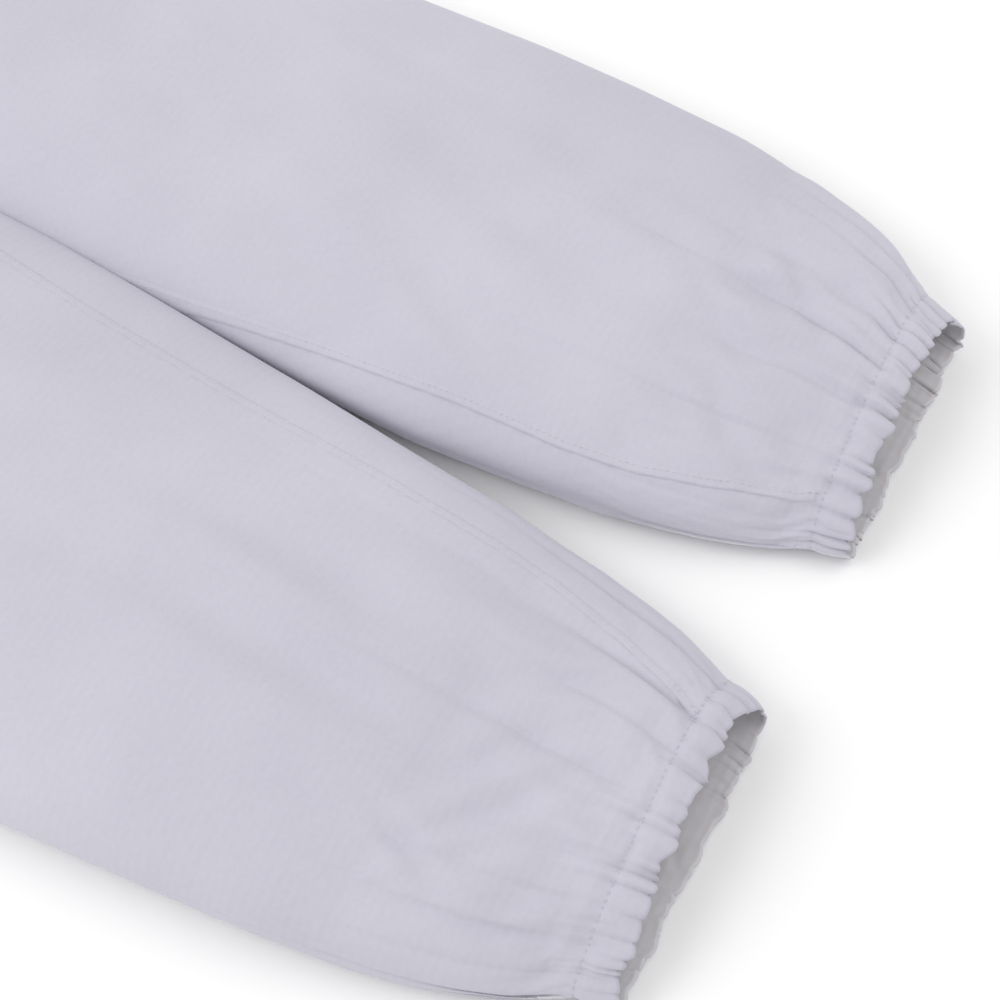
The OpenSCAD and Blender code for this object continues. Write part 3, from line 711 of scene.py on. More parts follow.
def sleeve_grid(side, seed):
    ys = np.concatenate([np.arange(-602, -572, 1.8), np.arange(-572, -500, 3.0), np.arange(-500, 0, 8.0), np.arange(0, 100, 5.0), [100, 102, 103.5, 104.6]])
    q = np.arange(NS) / NS
    phi = 2 * np.pi * q
    c, s = np.cos(phi), np.sin(phi)
    top = s >= 0
    hx, hz = 52 * c, np.where(top, 8 + 20 * np.abs(s) ** 0.86, 8 - 7 * np.abs(s) ** 0.45)
    arc = np.concatenate([[0], np.cumsum(np.hypot(np.diff(hx), np.diff(hz)))])
    u = arc / (arc[-1] + 1.5)
    g1, r1, _ = domes(u, seed, 24, 0.6)
    g2, r2, _ = domes(u, seed + 1, 13, 0.6)
    g3, r3, _ = domes(u, seed + 2, 7, 0.6)
    fm = wave(u, seed + 5, 10)
    fx = creases(seed + 6, 7, (-60, 60), (-360, -240), 8, (35, 70), (8, 14), (1.6, 3.2), 26)
    fx += creases(seed + 7, 7, (-70, 70), (-120, 40), 60, (40, 80), (9, 16), (1.4, 3.0), 26)
    fx += creases(seed + 8, 7, (-60, 60), (-520, -380), 84, (50, 90), (8, 15), (1.0, 2.0), 16)
    co = np.zeros((len(ys), NS, 3))
    for j, y in enumerate(ys):
        if y <= 0:
            w, h = float(smooth_at(SL, y, 1, 9)), float(smooth_at(SL, y, 2, 9))
            lowz = 0.0
        else:
            k = math.sqrt(max(0, 1 - (y / 105.0) ** 2))
            w, h = 96 * k, 12 + 34 * (1 - (y / 105.0) ** 3) ** 0.6
        zm = 0.28 * h
        x = w * np.sign(c) * np.abs(c) ** 0.92
        z = np.where(top, zm + (h - zm) * np.abs(s) ** 0.84, zm - (zm - 1.0) * np.abs(s) ** 0.45)
        t = y + 600.0
        yc = max(t, 0)
        yy = y + 7.0 * np.clip(s, 0, 1) ** 0.7 * math.exp(-yc / 45.0)
        yy = yy - math.exp(-(yc / 9.0) ** 2) * ((1.4 + 1.8 * r1) * (g1 - 0.5) + 1.0 * fm)
        d = (1.5 + 1.6 * r1) * (g1 - 0.55) * np.exp(-(yc / (15 + 26 * r1)) ** 2)
        d = d + (1.5 + 2.8 * r2) * (g2 - 0.6) * np.exp(-(yc / (30 + 50 * r2)) ** 2) * (0.5 + 0.5 * float(sstep(0, 24, t)))
        d = d + (1.6 + 3.0 * r3) * (g3 - 0.65) * np.exp(-(yc / (60 + 80 * r3)) ** 2) * float(sstep(4, 44, t))
        tt = (t + 2) / 17.0
        if tt < 1:
            d = d + (1.0 + 1.2 * r2) * math.sin(math.pi * min(1, max(0, tt))) ** 0.8
        d = d - (0.4 + 0.9 * r1) * np.exp(-((t - 16.5 - 2.5 * fm) / 3.2) ** 2)
        z2 = z + s * d * np.where(s < -0.25, 0.3, 1.0)
        x2 = x + c * d * 0.7
        up = np.clip(s, 0, 1) ** 0.7 * float(sstep(30, 110, t)) * (1 - float(sstep(60, 104, y)))
        z2 = z2 + up * (fold_height(x2, yy, fx) + 1.2 * lumps(x2, yy, seed + 9, 150))
        # the outline is not ruled: elbow and upper arm bag a little
        x2 = np.where(x2 > 0, x2 * (1 - 0.13 * float(sstep(-170, 10, y))), x2)
        x2 = x2 + np.sign(c) * np.abs(c) ** 2 * (1.8 * math.sin(y / 47.0 + seed) + 1.2 * math.sin(y / 19.0 + 2 * seed)) * float(sstep(40, 120, t)) * (1 - float(sstep(-30, 10, y)))
        co[j, :, 0], co[j, :, 1], co[j, :, 2] = x2, yy, np.maximum(z2, 0.5)
    return ys, co


SLEEVE = {}
for side, nm, seed in ((1, "left", 61), (-1, "right", 83)):
    ys, co = sleeve_grid(side, seed)
    X, Y = arm_place(side, co[..., 0], co[..., 1])
    P = np.stack([X / 1000, Y / 1000 - OY, co[..., 2] / 1000], -1).reshape(-1, 3)
    f = grid_faces(len(ys), NS, True)
    last = (len(ys) - 1) * NS
    f.append(tuple(range(last, last + NS)))
    if side < 0:
        f = [q[::-1] for q in f]
    ob = make("sleeve_" + nm, P, f, mats=(CLOTH,))
    weld(ob)
    m = ob.modifiers.new("solid", "SOLIDIFY")
    m.thickness = 0.0009
    m.offset = -1
    # the inside faces take the lighter inside cloth, painted light that offsets the shade inside the sleeve
    ob.data.materials.append(INSIDE_PAINTED_LIGHT)
    m.material_offset = 1
    apply_mods(ob)
    SLEEVE[side] = ob


# ------------------------------------------------------------------ collar, neck band and the teeth round the neck
NHW, NR, NCZ = 110.0, 150.0, 62.0 - 150.0


def neck_path(off=0.0, gap=2.5, step=2.0, z0=0.0):
    """The D outline of the neck, from the front edge on the wearer's right, round the back, to the front edge on the left; in mm, (x, z)."""
    hw, r = NHW + off, NR + off
    pts = []
    a1 = math.asin(hw / r)
    for a in np.arange(math.asin(gap / r), a1, step / r):
        pts.append((-r * math.sin(a), NCZ + r * math.cos(a)))
    zc = NCZ + math.sqrt(r * r - hw * hw)
    for z in np.arange(zc - step, z0 - off + 6, -step):
        pts.append((-hw, z))
    for a in np.arange(0, math.pi / 2 + 0.01, 0.3):
        pts.append((-hw + 6 * (1 - math.cos(a)), z0 - off + 6 - 6 * math.sin(a)))
    left = [(-x, z) for x, z in pts[::-1]]
    x0 = pts[-1][0]
    mid = [(x, z0 - off) for x in np.arange(x0 + step, -x0, step)]
    return np.array(pts + mid + left)


def neck_band(name, y0, y1, off, body, seed, gap=2.5, flare=0.0, wob=0.5):
    q = neck_path(off, gap)
    d = np.gradient(q, axis=0)
    nrm = np.stack([d[:, 1], -d[:, 0]], 1)
    nrm /= np.linalg.norm(nrm, axis=1, keepdims=True)
    if (nrm * (q - np.array([0, 30]))).sum() < 0:
        nrm = -nrm
    ys = np.linspace(y0, y1, 15)
    s = np.arange(len(q)) * 2.0
    rs = np.random.RandomState(seed)
    ph = rs.uniform(0, 6.28, 4)
    co = []
    for y in ys:
        t = (y - y0) / (y1 - y0)
        o = flare * math.sin(math.pi * t) + wob * (np.sin(s / 11 + ph[0]) * math.sin(2.2 * t + ph[1]) + 0.6 * np.sin(s / 6.1 + ph[2] + 2 * t))
        o = o - 0.8 * (math.exp(-(t / 0.06) ** 2) + math.exp(-((1 - t) / 0.06) ** 2))
        under = np.clip(q[:, 1] / 8.0, 0, 1)
        p = q + nrm * (o * under)[:, None]
        for (x, z) in p:
            co.append((x / 1000, y / 1000 - OY, max(z, 0.5) / 1000))
    ob = make(name, co, grid_faces(len(ys), len(q), False), mats=(CLOTH,))
    bm = bmesh.new(); bm.from_mesh(ob.data)
    bmesh.ops.recalc_face_normals(bm, faces=bm.faces)
    up = sum((f.normal.z * (1 if f.calc_center_median().z > 0.05 else 0)) for f in bm.faces)
    if up < 0:
        bmesh.ops.reverse_faces(bm, faces=bm.faces)
    bm.to_mesh(ob.data); bm.free()
    thicken(ob, 0.0016, -1)
    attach(ob, body)
    return ob


collar = neck_band("collar_band", 1541, 1581, 1.2, "torso", 3, gap=9.0, flare=1.2)
hood_band = neck_band("hood_band", 1591, 1617, 1.0, "hood", 5, gap=1.0, flare=0.8)
BRASS = metal_mat("zip_brass", (0.52, 0.38, 0.16), (0.74, 0.58, 0.30))


def teeth(name, places, body, size=(1.5, 3.0, 2.6)):
    """Zip teeth: a small rounded block at each (centre, along, across) in metres."""
    co, f = [], []
    w, l, h = [v / 2000 for v in size]
    ring = [(-1, -0.6), (-0.6, -1), (0.6, -1), (1, -0.6), (1, 0.6), (0.6, 1), (-0.6, 1), (-1, 0.6)]
    for c, t, n in places:
        t, n = Vector(t).normalized(), Vector(n).normalized()
        b = t.cross(n)
        o = len(co)
        for k, e in ((-1, 0.8), (-0.55, 1.0), (0.55, 1.0), (1, 0.8)):
            for (p, r) in ring:
                co.append(Vector(c) + t * (p * w * e) + b * (r * l * e) + n * (k * h))
        for k in range(3):
            for i in range(8):
                a, d = o + k * 8 + i, o + k * 8 + (i + 1) % 8
                f.append((a, d, d + 8, a + 8))
        f.append(tuple(o + i for i in range(7, -1, -1)))
        f.append(tuple(o + 24 + i for i in range(8)))
    ob = make(name, co, f, mats=(BRASS,), smooth=False)
    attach(ob, body)
    return ob


zy0, zy1 = 836.0, 1536.0
for side, nm in ((1, "left"), (-1, "right")):
    pl = []
    k = 0
    y = zy0 + (1.3 if side > 0 else 2.6)
    while y < zy1 - 1:
        pl.append(((side * 0.35 / 1000, y / 1000 - OY, 58.9 / 1000), (0, 1, 0), (0, 0, 1)))
        y += 2.6
    ob = teeth("front_zip_teeth_" + nm, pl, "torso", (1.25, 3.0, 2.9))
    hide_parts("zip_teeth_" + nm)
for nmz, y, body, rep in (("collar_zip_teeth", 1584.9, "torso", "neck_zip_teeth"), ("hood_zip_teeth_row", 1587.0, "hood", "hood_zip_teeth")):
    q = neck_path(-0.6, 3.0, 2.6)
    d = np.gradient(q, axis=0)
    pl = []
    for i in range(len(q)):
        if q[i][1] < 1.4:
            q[i][1] = 1.4
        t = d[i] / max(1e-6, np.linalg.norm(d[i]))
        n = (t[1], -t[0])
        pl.append(((q[i][0] / 1000, y / 1000 - OY, q[i][1] / 1000), (t[0], 0, t[1]), (n[0], 0, n[1])))
    ob = teeth(nmz, pl, body, (1.2, 2.4, 2.4))
    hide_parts(rep)


# ------------------------------------------------------------------ seams and stitches that follow a grid of points
class Grid:
    """A grid of points in metres, rows by columns, with a place and an outward direction at any row and column."""

    def __init__(self, P, top_rc):
        self.P = np.array(P, float)
        self.sign = 1.0
        if self.n(*top_rc)[2] < 0:
            self.sign = -1.0

    def p(self, r, c):
        R, C = self.P.shape[:2]
        r, c = min(max(r, 0), R - 1.001), min(max(c, 0), C - 1.001)
        i, j = int(r), int(c)
        a, b = r - i, c - j
        Q = self.P
        return (Q[i, j] * (1 - a) + Q[i + 1, j] * a) * (1 - b) + (Q[i, j + 1] * (1 - a) + Q[i + 1, j + 1] * a) * b

    def n(self, r, c):
        n = np.cross(self.p(r, c + 0.8) - self.p(r, c - 0.8), self.p(r + 0.8, c) - self.p(r - 0.8, c))
        return self.sign * n / max(np.linalg.norm(n), 1e-12)

    def path(self, rc, step):
        """Evenly spaced places along a path of rows and columns: place, direction and outward direction."""
        rc = np.array(rc, float)
        t = np.linspace(0, len(rc) - 1, 60 * (len(rc) - 1) + 1)
        f = np.stack([np.interp(t, np.arange(len(rc)), rc[:, k]) for k in (0, 1)], 1)
        pts = np.array([self.p(*v) for v in f])
        s = np.concatenate([[0], np.cumsum(np.linalg.norm(np.diff(pts, axis=0), axis=1))])
        n = max(3, int(s[-1] / step))
        g = np.linspace(0, s[-1], n)
        out = np.stack([np.interp(g, s, f[:, k]) for k in (0, 1)], 1)
        P = np.array([self.p(*v) for v in out])
        N = np.array([self.n(*v) for v in out])
        T = np.gradient(P, axis=0)
        T /= np.maximum(np.linalg.norm(T, axis=1, keepdims=True), 1e-9)
        B = np.cross(N, T)
        B /= np.maximum(np.linalg.norm(B, axis=1, keepdims=True), 1e-9)
        return P, T, N, B


def grid_seam(name, grid, rc, width=6.0, lift=0.4, seed=1, mat=None):
    """A felled seam: one edge stands as a fine line, the other dies into the cloth."""
    P, T, N, B = grid.path(rc, 0.003)
    prof = ((-0.5, -0.06), (-0.46, 0.7), (-0.36, 1.0), (-0.1, 0.75), (0.2, 0.55), (0.42, 0.35), (0.52, -0.08))
    rs = np.random.RandomState(seed)
    ph = rs.uniform(0, 6.28, 2)
    co = []
    for i in range(len(P)):
        pk = 0.12 * math.sin(i * 1.3 + ph[0]) + 0.10 * math.sin(i * 0.77 + ph[1])
        for o, h in prof:
            co.append(P[i] + B[i] * o * width / 1000 + N[i] * (lift * h + (pk if h > 0 else 0) + 0.12) / 1000)
    return make(name, co, grid_faces(len(P), len(prof), False), mats=(mat or CLOTH,))


def thread_rows(name, places, length=2.4, width=0.5, lift=0.28, mat=None):
    """Stitches from a list of (place, along, outward) in metres."""
    co, f = [], []
    for P, T, N in places:
        P, T, N = np.array(P), np.array(T), np.array(N)
        B = np.cross(N, T)
        base = len(co)
        for a, h, w in ((-0.5, -0.15, 0.3), (-0.24, lift, 1.0), (0.24, lift, 1.0), (0.5, -0.15, 0.3)):
            for sg, hh in ((-0.5, 0.0), (0, 0.2 * w), (0.5, 0.0)):
                co.append(P + T * a * length / 1000 + B * sg * width * w / 1000 + N * (h + hh) / 1000)
        for j in range(3):
            for k in range(2):
                a0 = base + j * 3 + k
                f.append((a0, a0 + 1, a0 + 4, a0 + 3))
    return make(name, co, f, mats=(mat or THREAD,))


def grid_stitches(name, grid, rcs, pitch=3.3, **kw):
    pl = []
    for rc in rcs:
        P, T, N, B = grid.path(rc, pitch / 1000)
        pl += list(zip(P, T, N))
    return thread_rows(name, pl, **kw)


for side, nm in ((1, "left"), (-1, "right")):
    ys, co, ob, tr = HALF[side]
    P = co / 1000 - np.array([0, OY, 0])
    g = Grid(P, (40, int(NT * 0.75)))
    row = lambda y: float(np.interp(y, ys, np.arange(len(ys))))
    hem = grid_stitches("ankle_stitches_" + nm, g, [[(row(17.0), 3 + k) for k in np.linspace(0, NT - 6, 40)]])
    sidec = NT * 0.5 - 26     # the side seam has rolled under the outer edge
    seam = grid_seam("side_seam_" + nm, g, [(row(y), sidec) for y in (70, 120, 220, 400, 600, 740)], seed=3)
    BLENDS[side] += [hem, seam]
    up = grid_seam("side_seam_body_" + nm, g, [(row(y), sidec) for y in (740, 860, 1000, 1120, 1200)], seed=4)
    ex = [grid_stitches("placket_stitches_" + nm, g, [[(row(y), float(np.interp(off, [0, 1], [NT - 1.2, NT - 3.0]))) for y in (832, 1000, 1200, 1400, 1530)] for off in (0.0, 1.0)]),
          grid_stitches("waist_stitches_" + nm, g, [[(row(y), c) for c in np.linspace(2, 60, 20)] for y in (1024, 1039, 1054)])]
    if side > 0:
        ex.append(grid_seam("back_seam", g, [(row(y), 0.6) for y in (800, 900, 1100, 1300, 1500)], seed=8))
    for o in ex + [up]:
        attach(o, "torso")
    HALF[side] = (ys, co, ob, tr, g)

# ------------------------------------------------------------------ sleeves' stitches, thumb loops and armholes
for side, nm in ((1, "left"), (-1, "right")):
    ys, co = sleeve_grid(side, {1: 61, -1: 83}[side])
    X, Y = arm_place(side, co[..., 0], co[..., 1])
    P = np.stack([X / 1000, Y / 1000 - OY, co[..., 2] / 1000], -1)
    P = np.concatenate([P, P[:, :1]], 1)
    g = Grid(P, (50, NS * 0.25))
    row = lambda y: float(np.interp(y, ys, np.arange(len(ys))))
    sl = SLEEVE[side]
    hem = grid_stitches("wrist_stitches_" + nm, g, [[(row(-583.5), k) for k in np.linspace(1, NS - 1, 40)]])
    seam = grid_seam("sleeve_seam_" + nm, g, [(row(y), NS * 0.5 + (2 if side > 0 else 2)) for y in (-576, -480, -300, -160, -60)], seed=12)
    tr2 = tree_of(HALF[side][2])
    tr3 = tree_of(sl)
    line = []
    for yb in np.arange(1306, 1492, 6):
        best = None
        for xb in np.arange(150, 262, 1.5):
            zb, _ = drop(tr2, side * xb / 1000, yb / 1000 - OY, default=-1)
            zs, _ = drop(tr3, side * xb / 1000, yb / 1000 - OY, default=-1)
            if zs > zb and zs > 0.004:
                best = xb
                break
        if best is not None:
            line.append((side * best, yb))
    if len(line) > 4:
        q = np.array(line)
        for _ in range(6):
            q[1:-1, 0] = (q[:-2, 0] + 2 * q[1:-1, 0] + q[2:, 0]) / 4
        both = tree_of(HALF[side][2], sl)
        ah = strip("armhole_seam_" + nm, [tuple(v) for v in q], 6.5, both, lift=0.7, seed=21)
        st = stitches("armhole_stitches_" + nm, [[(x - side * 5.5, y) for x, y in q]], both)
        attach(ah, "torso")
        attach(st, "torso")
    # thumb loop: a soft elastic ribbon
    pth = [(-28.5, -592 - 4 * k) for k in range(12)] + [(-14 + 14.5 * math.cos(a), -640 + 14.5 * math.sin(a)) for a in np.linspace(math.pi, 2 * math.pi, 16)] + [(0.5, -636 + 4 * k) for k in range(12)]
    pth = np.array(pth)
    t = np.gradient(pth, axis=0)
    t /= np.linalg.norm(t, axis=1, keepdims=True)
    sd = np.stack([-t[:, 1], t[:, 0]], 1)
    cof = []
    for i in range(len(pth)):
        for o, h in ((-2.6, 0.35), (-2.2, 1.5), (-0.8, 1.75), (0.8, 1.75), (2.2, 1.5), (2.6, 0.35), (2.2, 0.15), (-2.2, 0.15)):
            x, y = pth[i] + sd[i] * o
            X1, Y1 = arm_place(side, x, y)
            cof.append((X1 / 1000, Y1 / 1000 - OY, (h + 0.10 * math.sin(i * 2.1)) / 1000))
    fl = []
    for i in range(len(pth) - 1):
        for k in range(8):
            fl.append((i * 8 + k, i * 8 + (k + 1) % 8, i * 8 + 8 + (k + 1) % 8, i * 8 + 8 + k))
    fl += [tuple(range(7, -1, -1)), tuple((len(pth) - 1) * 8 + k for k in range(8))]
    tl = make("thumb_loop_ribbon_" + nm, cof, fl, mats=(ELASTIC,))
    weld(tl)
    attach(tl, "sleeve_" + nm)
    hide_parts("thumb_loop_" + nm)
    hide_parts("sleeve_front_" + nm, "sleeve_back_" + nm, "wrist_hem_" + nm, "wrist_elastic_" + nm)
    for o in (sl, hem, seam):
        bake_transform(o)

# ------------------------------------------------------------------ pockets
def patch_piece(name, x_range, y0, y1, tree, lift, seed, puff=1.2, mats=(CLOTH,), nx=44, ny=48, edge=2.2, round_low=9.0):
    """A patch of cloth sewn on: x_range(y) gives its two edges in mm."""
    co = []
    rs = np.random.RandomState(seed)
    ph = rs.uniform(0, 6.28, 6)
    for j in range(ny + 1):
        v = 0.5 - 0.5 * math.cos(math.pi * j / ny)
        v = 0.5 * v + 0.5 * j / ny
        y = y0 + (y1 - y0) * v
        xa, xb = x_range(y)
        r = round_low
        inset = r - math.sqrt(max(0, r * r - max(0, r - (y - y0)) ** 2)) if r else 0
        for i in range(nx + 1):
            u = 0.5 * (0.5 - 0.5 * math.cos(math.pi * i / nx)) + 0.5 * i / nx
            x = (xa + inset) + (xb - xa - 2 * inset) * u
            d = min(x - xa, xb - x, y - y0, y1 - y + 6)
            X, Y = mm(x, y)
            z, n = drop(tree, X, Y)
            rise = lift * (1 - math.exp(-(max(d, 0) / edge) ** 1.5)) + puff * (1 - math.exp(-(max(d, 0) / 22) ** 2))
            rise += 0.35 * math.sin(x / 9 + ph[0]) * math.sin(y / 13 + ph[1]) * min(1, max(0, d) / 8) + 0.25 * math.sin(x / 4.1 + y / 23 + ph[2]) * min(1, max(d, 0) / 8)
            if d < 0.3:
                rise = 0.08
            co.append(Vector((X, Y, z)) + Vector((0, 0, max(rise, 0.08) / 1000)))
    ob = make(name, co, grid_faces(ny + 1, nx + 1, False), mats=mats)
    bm = bmesh.new(); bm.from_mesh(ob.data)
    bmesh.ops.recalc_face_normals(bm, faces=bm.faces)
    if sum(f.normal.z for f in bm.faces) < 0:
        bmesh.ops.reverse_faces(bm, faces=bm.faces)
    bm.to_mesh(ob.data); bm.free()
    thicken(ob, 0.0008, -1)
    return ob


def edge_rows(name, loops, tree, body, pitch=3.2):
    o = stitches(name, loops, tree, pitch=pitch)
    if body:
        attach(o, body)
    return o


body_l, body_r = HALF[1][2], HALF[-1][2]
tl_, tr_ = HALF[1][3], HALF[-1][3]
cp = patch_piece("chest_pocket_cloth", lambda y: (66, 186), 1250, 1385, tl_, 1.5, 5)
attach(cp, "torso"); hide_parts("chest_pocket")
tcp = tree_of(body_l, cp)
edge_rows("chest_pocket_stitches", [[(69, 1380), (69, 1262), (76, 1253.5), (176, 1253.5), (183, 1262), (183, 1380)]], tcp, "torso")
fl_ = patch_piece("chest_flap_cloth", lambda y: (62, 190), 1342, 1392, tcp, 2.0, 9, puff=0.5, round_low=12)
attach(fl_, "pocket_flap"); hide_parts("chest_pocket_flap")
tfl = tree_of(fl_)
edge_rows("chest_flap_stitches", [[(65.5, 1388), (65.5, 1355), (74, 1346), (178, 1346), (186.5, 1355), (186.5, 1388)]], tfl, "pocket_flap")
edge_rows("chest_flap_top_stitches", [[(66, 1388.5), (186, 1388.5)]], tfl, "pocket_flap")
HIPS, TAPES = [], []
for side, nm, b, t in ((1, "left", body_l, tl_), (-1, "right", body_r, tr_)):
    def rng(y, side=side):
        xo = 262 if y < 962 else 262 - (y - 962) * 66 / 92.0
        return (112, xo) if side > 0 else (-xo, -112)
    hp = patch_piece("hip_pocket_cloth_" + nm, rng, 902, 1052, t, 1.5, 15 + side)
    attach(hp, "torso"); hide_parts("hip_pocket_" + nm)
    HIPS.append(hp)
    th = tree_of(b, hp)
    edge_rows("hip_pocket_stitches_" + nm, [[(side * x, y) for x, y in ((115.5, 1048), (115.5, 914), (124, 905.5), (250, 905.5), (258.5, 914), (258.5, 961), (194, 1048))],
                                            [(side * x, y) for x, y in ((252, 962), (190, 1046))]], th, "torso")


def tool_range(y):
    cx = (at(RIGHT, y, 1) + at(RIGHT, y, 2)) / 2
    hw = abs(at(RIGHT, y, 1) - at(RIGHT, y, 2)) / 2 + 1.6
    return float(cx - hw * math.cos(math.radians(66))), float(cx - hw * math.cos(math.radians(102)))


tp = patch_piece("tool_pocket_cloth", tool_range, 575, 755, tr_, 1.5, 31, puff=1.0)
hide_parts("tool_pocket")
tt_ = tree_of(body_r, tp)
ts = stitches("tool_pocket_stitches", [[(tool_range(y)[0] + 3.5, y) for y in range(750, 589, -20)] + [(tool_range(579)[0] + 11, 579), (tool_range(579)[1] - 11, 579)] + [(tool_range(y)[1] - 3.5, y) for y in range(590, 751, 20)]], tt_)
BLENDS[-1] += [tp, ts]

# ------------------------------------------------------------------ zip tapes, the tab at the throat and the hanging loop
for side, nm in ((1, "left"), (-1, "right")):
    co = []
    yy_ = np.arange(824, 1554, 3.0)
    xs_ = (0.9, 1.8, 4, 8, 12, 16, 19.8)
    for y in yy_:
        for k, x in enumerate(xs_):
            co.append((side * x / 1000, y / 1000 - OY, (58.7 + 0.12 * math.sin(y / 7.0 + k) + (0.5 if k == 1 else 0)) / 1000))
    f = grid_faces(len(yy_), len(xs_), False)
    if side < 0:
        f = [q[::-1] for q in f]
    ob = make("zip_tape_cloth_" + nm, co, f, mats=(TAPE,))
    m = ob.modifiers.new("s", "SOLIDIFY"); m.thickness = 0.0009; m.offset = 0
    apply_mods(ob)
    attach(ob, "torso"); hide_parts("zip_tape_" + nm)
    TAPES.append(ob)


def arc_piece(name, r, thick, a0, a1, y0, y1, body, mat, seed=1, rnd=0.0, nodes_=()):
    """Cloth lying on the neck ring: from angle a0 to a1 about the neck axis, in degrees from the top."""
    co = []
    na, ny = 60, 18
    for j in range(ny + 1):
        v = j / ny
        for i in range(na + 1):
            u = i / na
            a = math.radians(a0 + (a1 - a0) * u)
            y = y0 + (y1 - y0) * v
            e = (a1 - a0) * math.pi / 180 * r
            du = min(u, 1 - u) * e
            if rnd and du < rnd and u < 0.5:
                k = rnd - math.sqrt(max(0, rnd * rnd - (rnd - du) ** 2))
                y = (y0 + y1) / 2 + (y - (y0 + y1) / 2) * (1 - 2 * k / (y1 - y0))
            rr = r + thick * (1 - math.exp(-(min(du, (y1 - y0) / 2 - abs(y - (y0 + y1) / 2)) / 1.5) ** 2) * 0.35) + 0.10 * math.sin(7 * u * 3.1 + seed) * math.sin(5 * v + seed)
            co.append((rr * math.sin(a) / 1000, y / 1000 - OY, (NCZ + rr * math.cos(a)) / 1000))
    ob = make(name, co, grid_faces(ny + 1, na + 1, False), mats=(mat,))
    bm = bmesh.new(); bm.from_mesh(ob.data)
    bmesh.ops.recalc_face_normals(bm, faces=bm.faces)
    if sum(q.normal.z for q in bm.faces) < 0:
        bmesh.ops.reverse_faces(bm, faces=bm.faces)
    bm.to_mesh(ob.data); bm.free()
    m = ob.modifiers.new("s", "SOLIDIFY"); m.thickness = thick / 1000; m.offset = -1
    apply_mods(ob)
    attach(ob, body)
    if nodes_:
        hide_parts(*nodes_)
    return ob


HOOK = cloth_mat("hook_and_loop_face", (0.56, 0.56, 0.58), (0.70, 0.70, 0.72), weave=0.0007, bump=1.0, mottled=60.0, twill=False)
tab = arc_piece("throat_tab_cloth", 152.6, 1.5, -17, 17, 1549, 1577, "throat_flap", CLOTH, 2, rnd=10, nodes_=("throat_tab",))
arc_piece("throat_hook_patch", 151.4, 1.1, -16, -8, 1551, 1575, "throat_flap", HOOK, 3, rnd=3, nodes_=("throat_tab_hooks",))
arc_piece("throat_loop_patch", 150.3, 1.0, -16, -8, 1551, 1575, "torso", HOOK, 4, rnd=3, nodes_=("throat_loops",))
ttab = tree_of(tab)
rt = 154.0
sx = lambda a: rt * math.sin(math.radians(a))
edge_rows("throat_tab_stitches", [[(sx(16), 1552), (sx(-14), 1552), (sx(-16), 1558), (sx(-16), 1568), (sx(-14), 1574), (sx(16), 1574)], [(sx(15.2), 1552), (sx(15.2), 1574)]], ttab, "throat_flap")

for nmz, y0, y1, body, rep_ in (("collar_zip_tape", 1578.5, 1584.2, "torso", "neck_zip_tape"), ("hood_zip_tape_cloth", 1587.6, 1593.2, "hood", "hood_zip_tape")):
    ob = neck_band(nmz, y0, y1, -1.4, body, 9, gap=3.0, flare=0.0, wob=0.08)
    for i in range(len(ob.data.materials)):
        ob.data.materials[i] = TAPE
    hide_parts(rep_)
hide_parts("collar")
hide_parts("hood_neck_band")

xs_ = np.linspace(-38, 38, 50)
co = []
for x in xs_:
    b = 1 - (abs(x) / 38) ** 4
    for o, h in ((-4.2, 0), (-3.9, 0.5), (-1.5, 0.65), (1.5, 0.65), (3.9, 0.5), (4.2, 0), (3.9, -0.4), (-3.9, -0.4)):
        co.append((x / 1000, (1562 + o) / 1000 - OY, (2.9 + 1.6 * b + h + 0.06 * math.sin(x * 1.3)) / 1000))
f = []
for i in range(len(xs_) - 1):
    for k in range(8):
        f.append((i * 8 + k, i * 8 + (k + 1) % 8, i * 8 + 8 + (k + 1) % 8, i * 8 + 8 + k))
f += [tuple(range(7, -1, -1)), tuple((len(xs_) - 1) * 8 + k for k in range(8))]
hl = make("hanging_loop_tape", co, f, mats=(TAPE,))
weld(hl)
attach(hl, "torso"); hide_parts("hanging_loop")

# ------------------------------------------------------------------ hood
HR = [(1600, 110, .37), (1614, 112, .39), (1640, 128, .56), (1680, 146, .77), (1730, 158, .92), (1790, 162, 1), (1845, 158, 1), (1890, 146, .93),
      (1925, 124, .78), (1952, 92, .58), (1970, 52, .36), (1978, 20, .2)]
ta = np.concatenate([np.linspace(0, 36, 27)[:-1], np.linspace(36, 144, 79)[:-1], np.linspace(144, 180, 27)])
NB = 46
hys = np.concatenate([np.linspace(1612, 1634, 9)[:-1], np.linspace(1634, 1886, 66)[:-1], np.linspace(1886, 1968, 24)[:-1], np.linspace(1968, 1978, 8)])


def hood_size(y):
    if y > 1962:
        return float(at(HR, y, 1)), 165 * float(at(HR, y, 2))
    return float(smooth_at(HR, y, 1, 9)), 165 * float(smooth_at(HR, y, 2, 9))


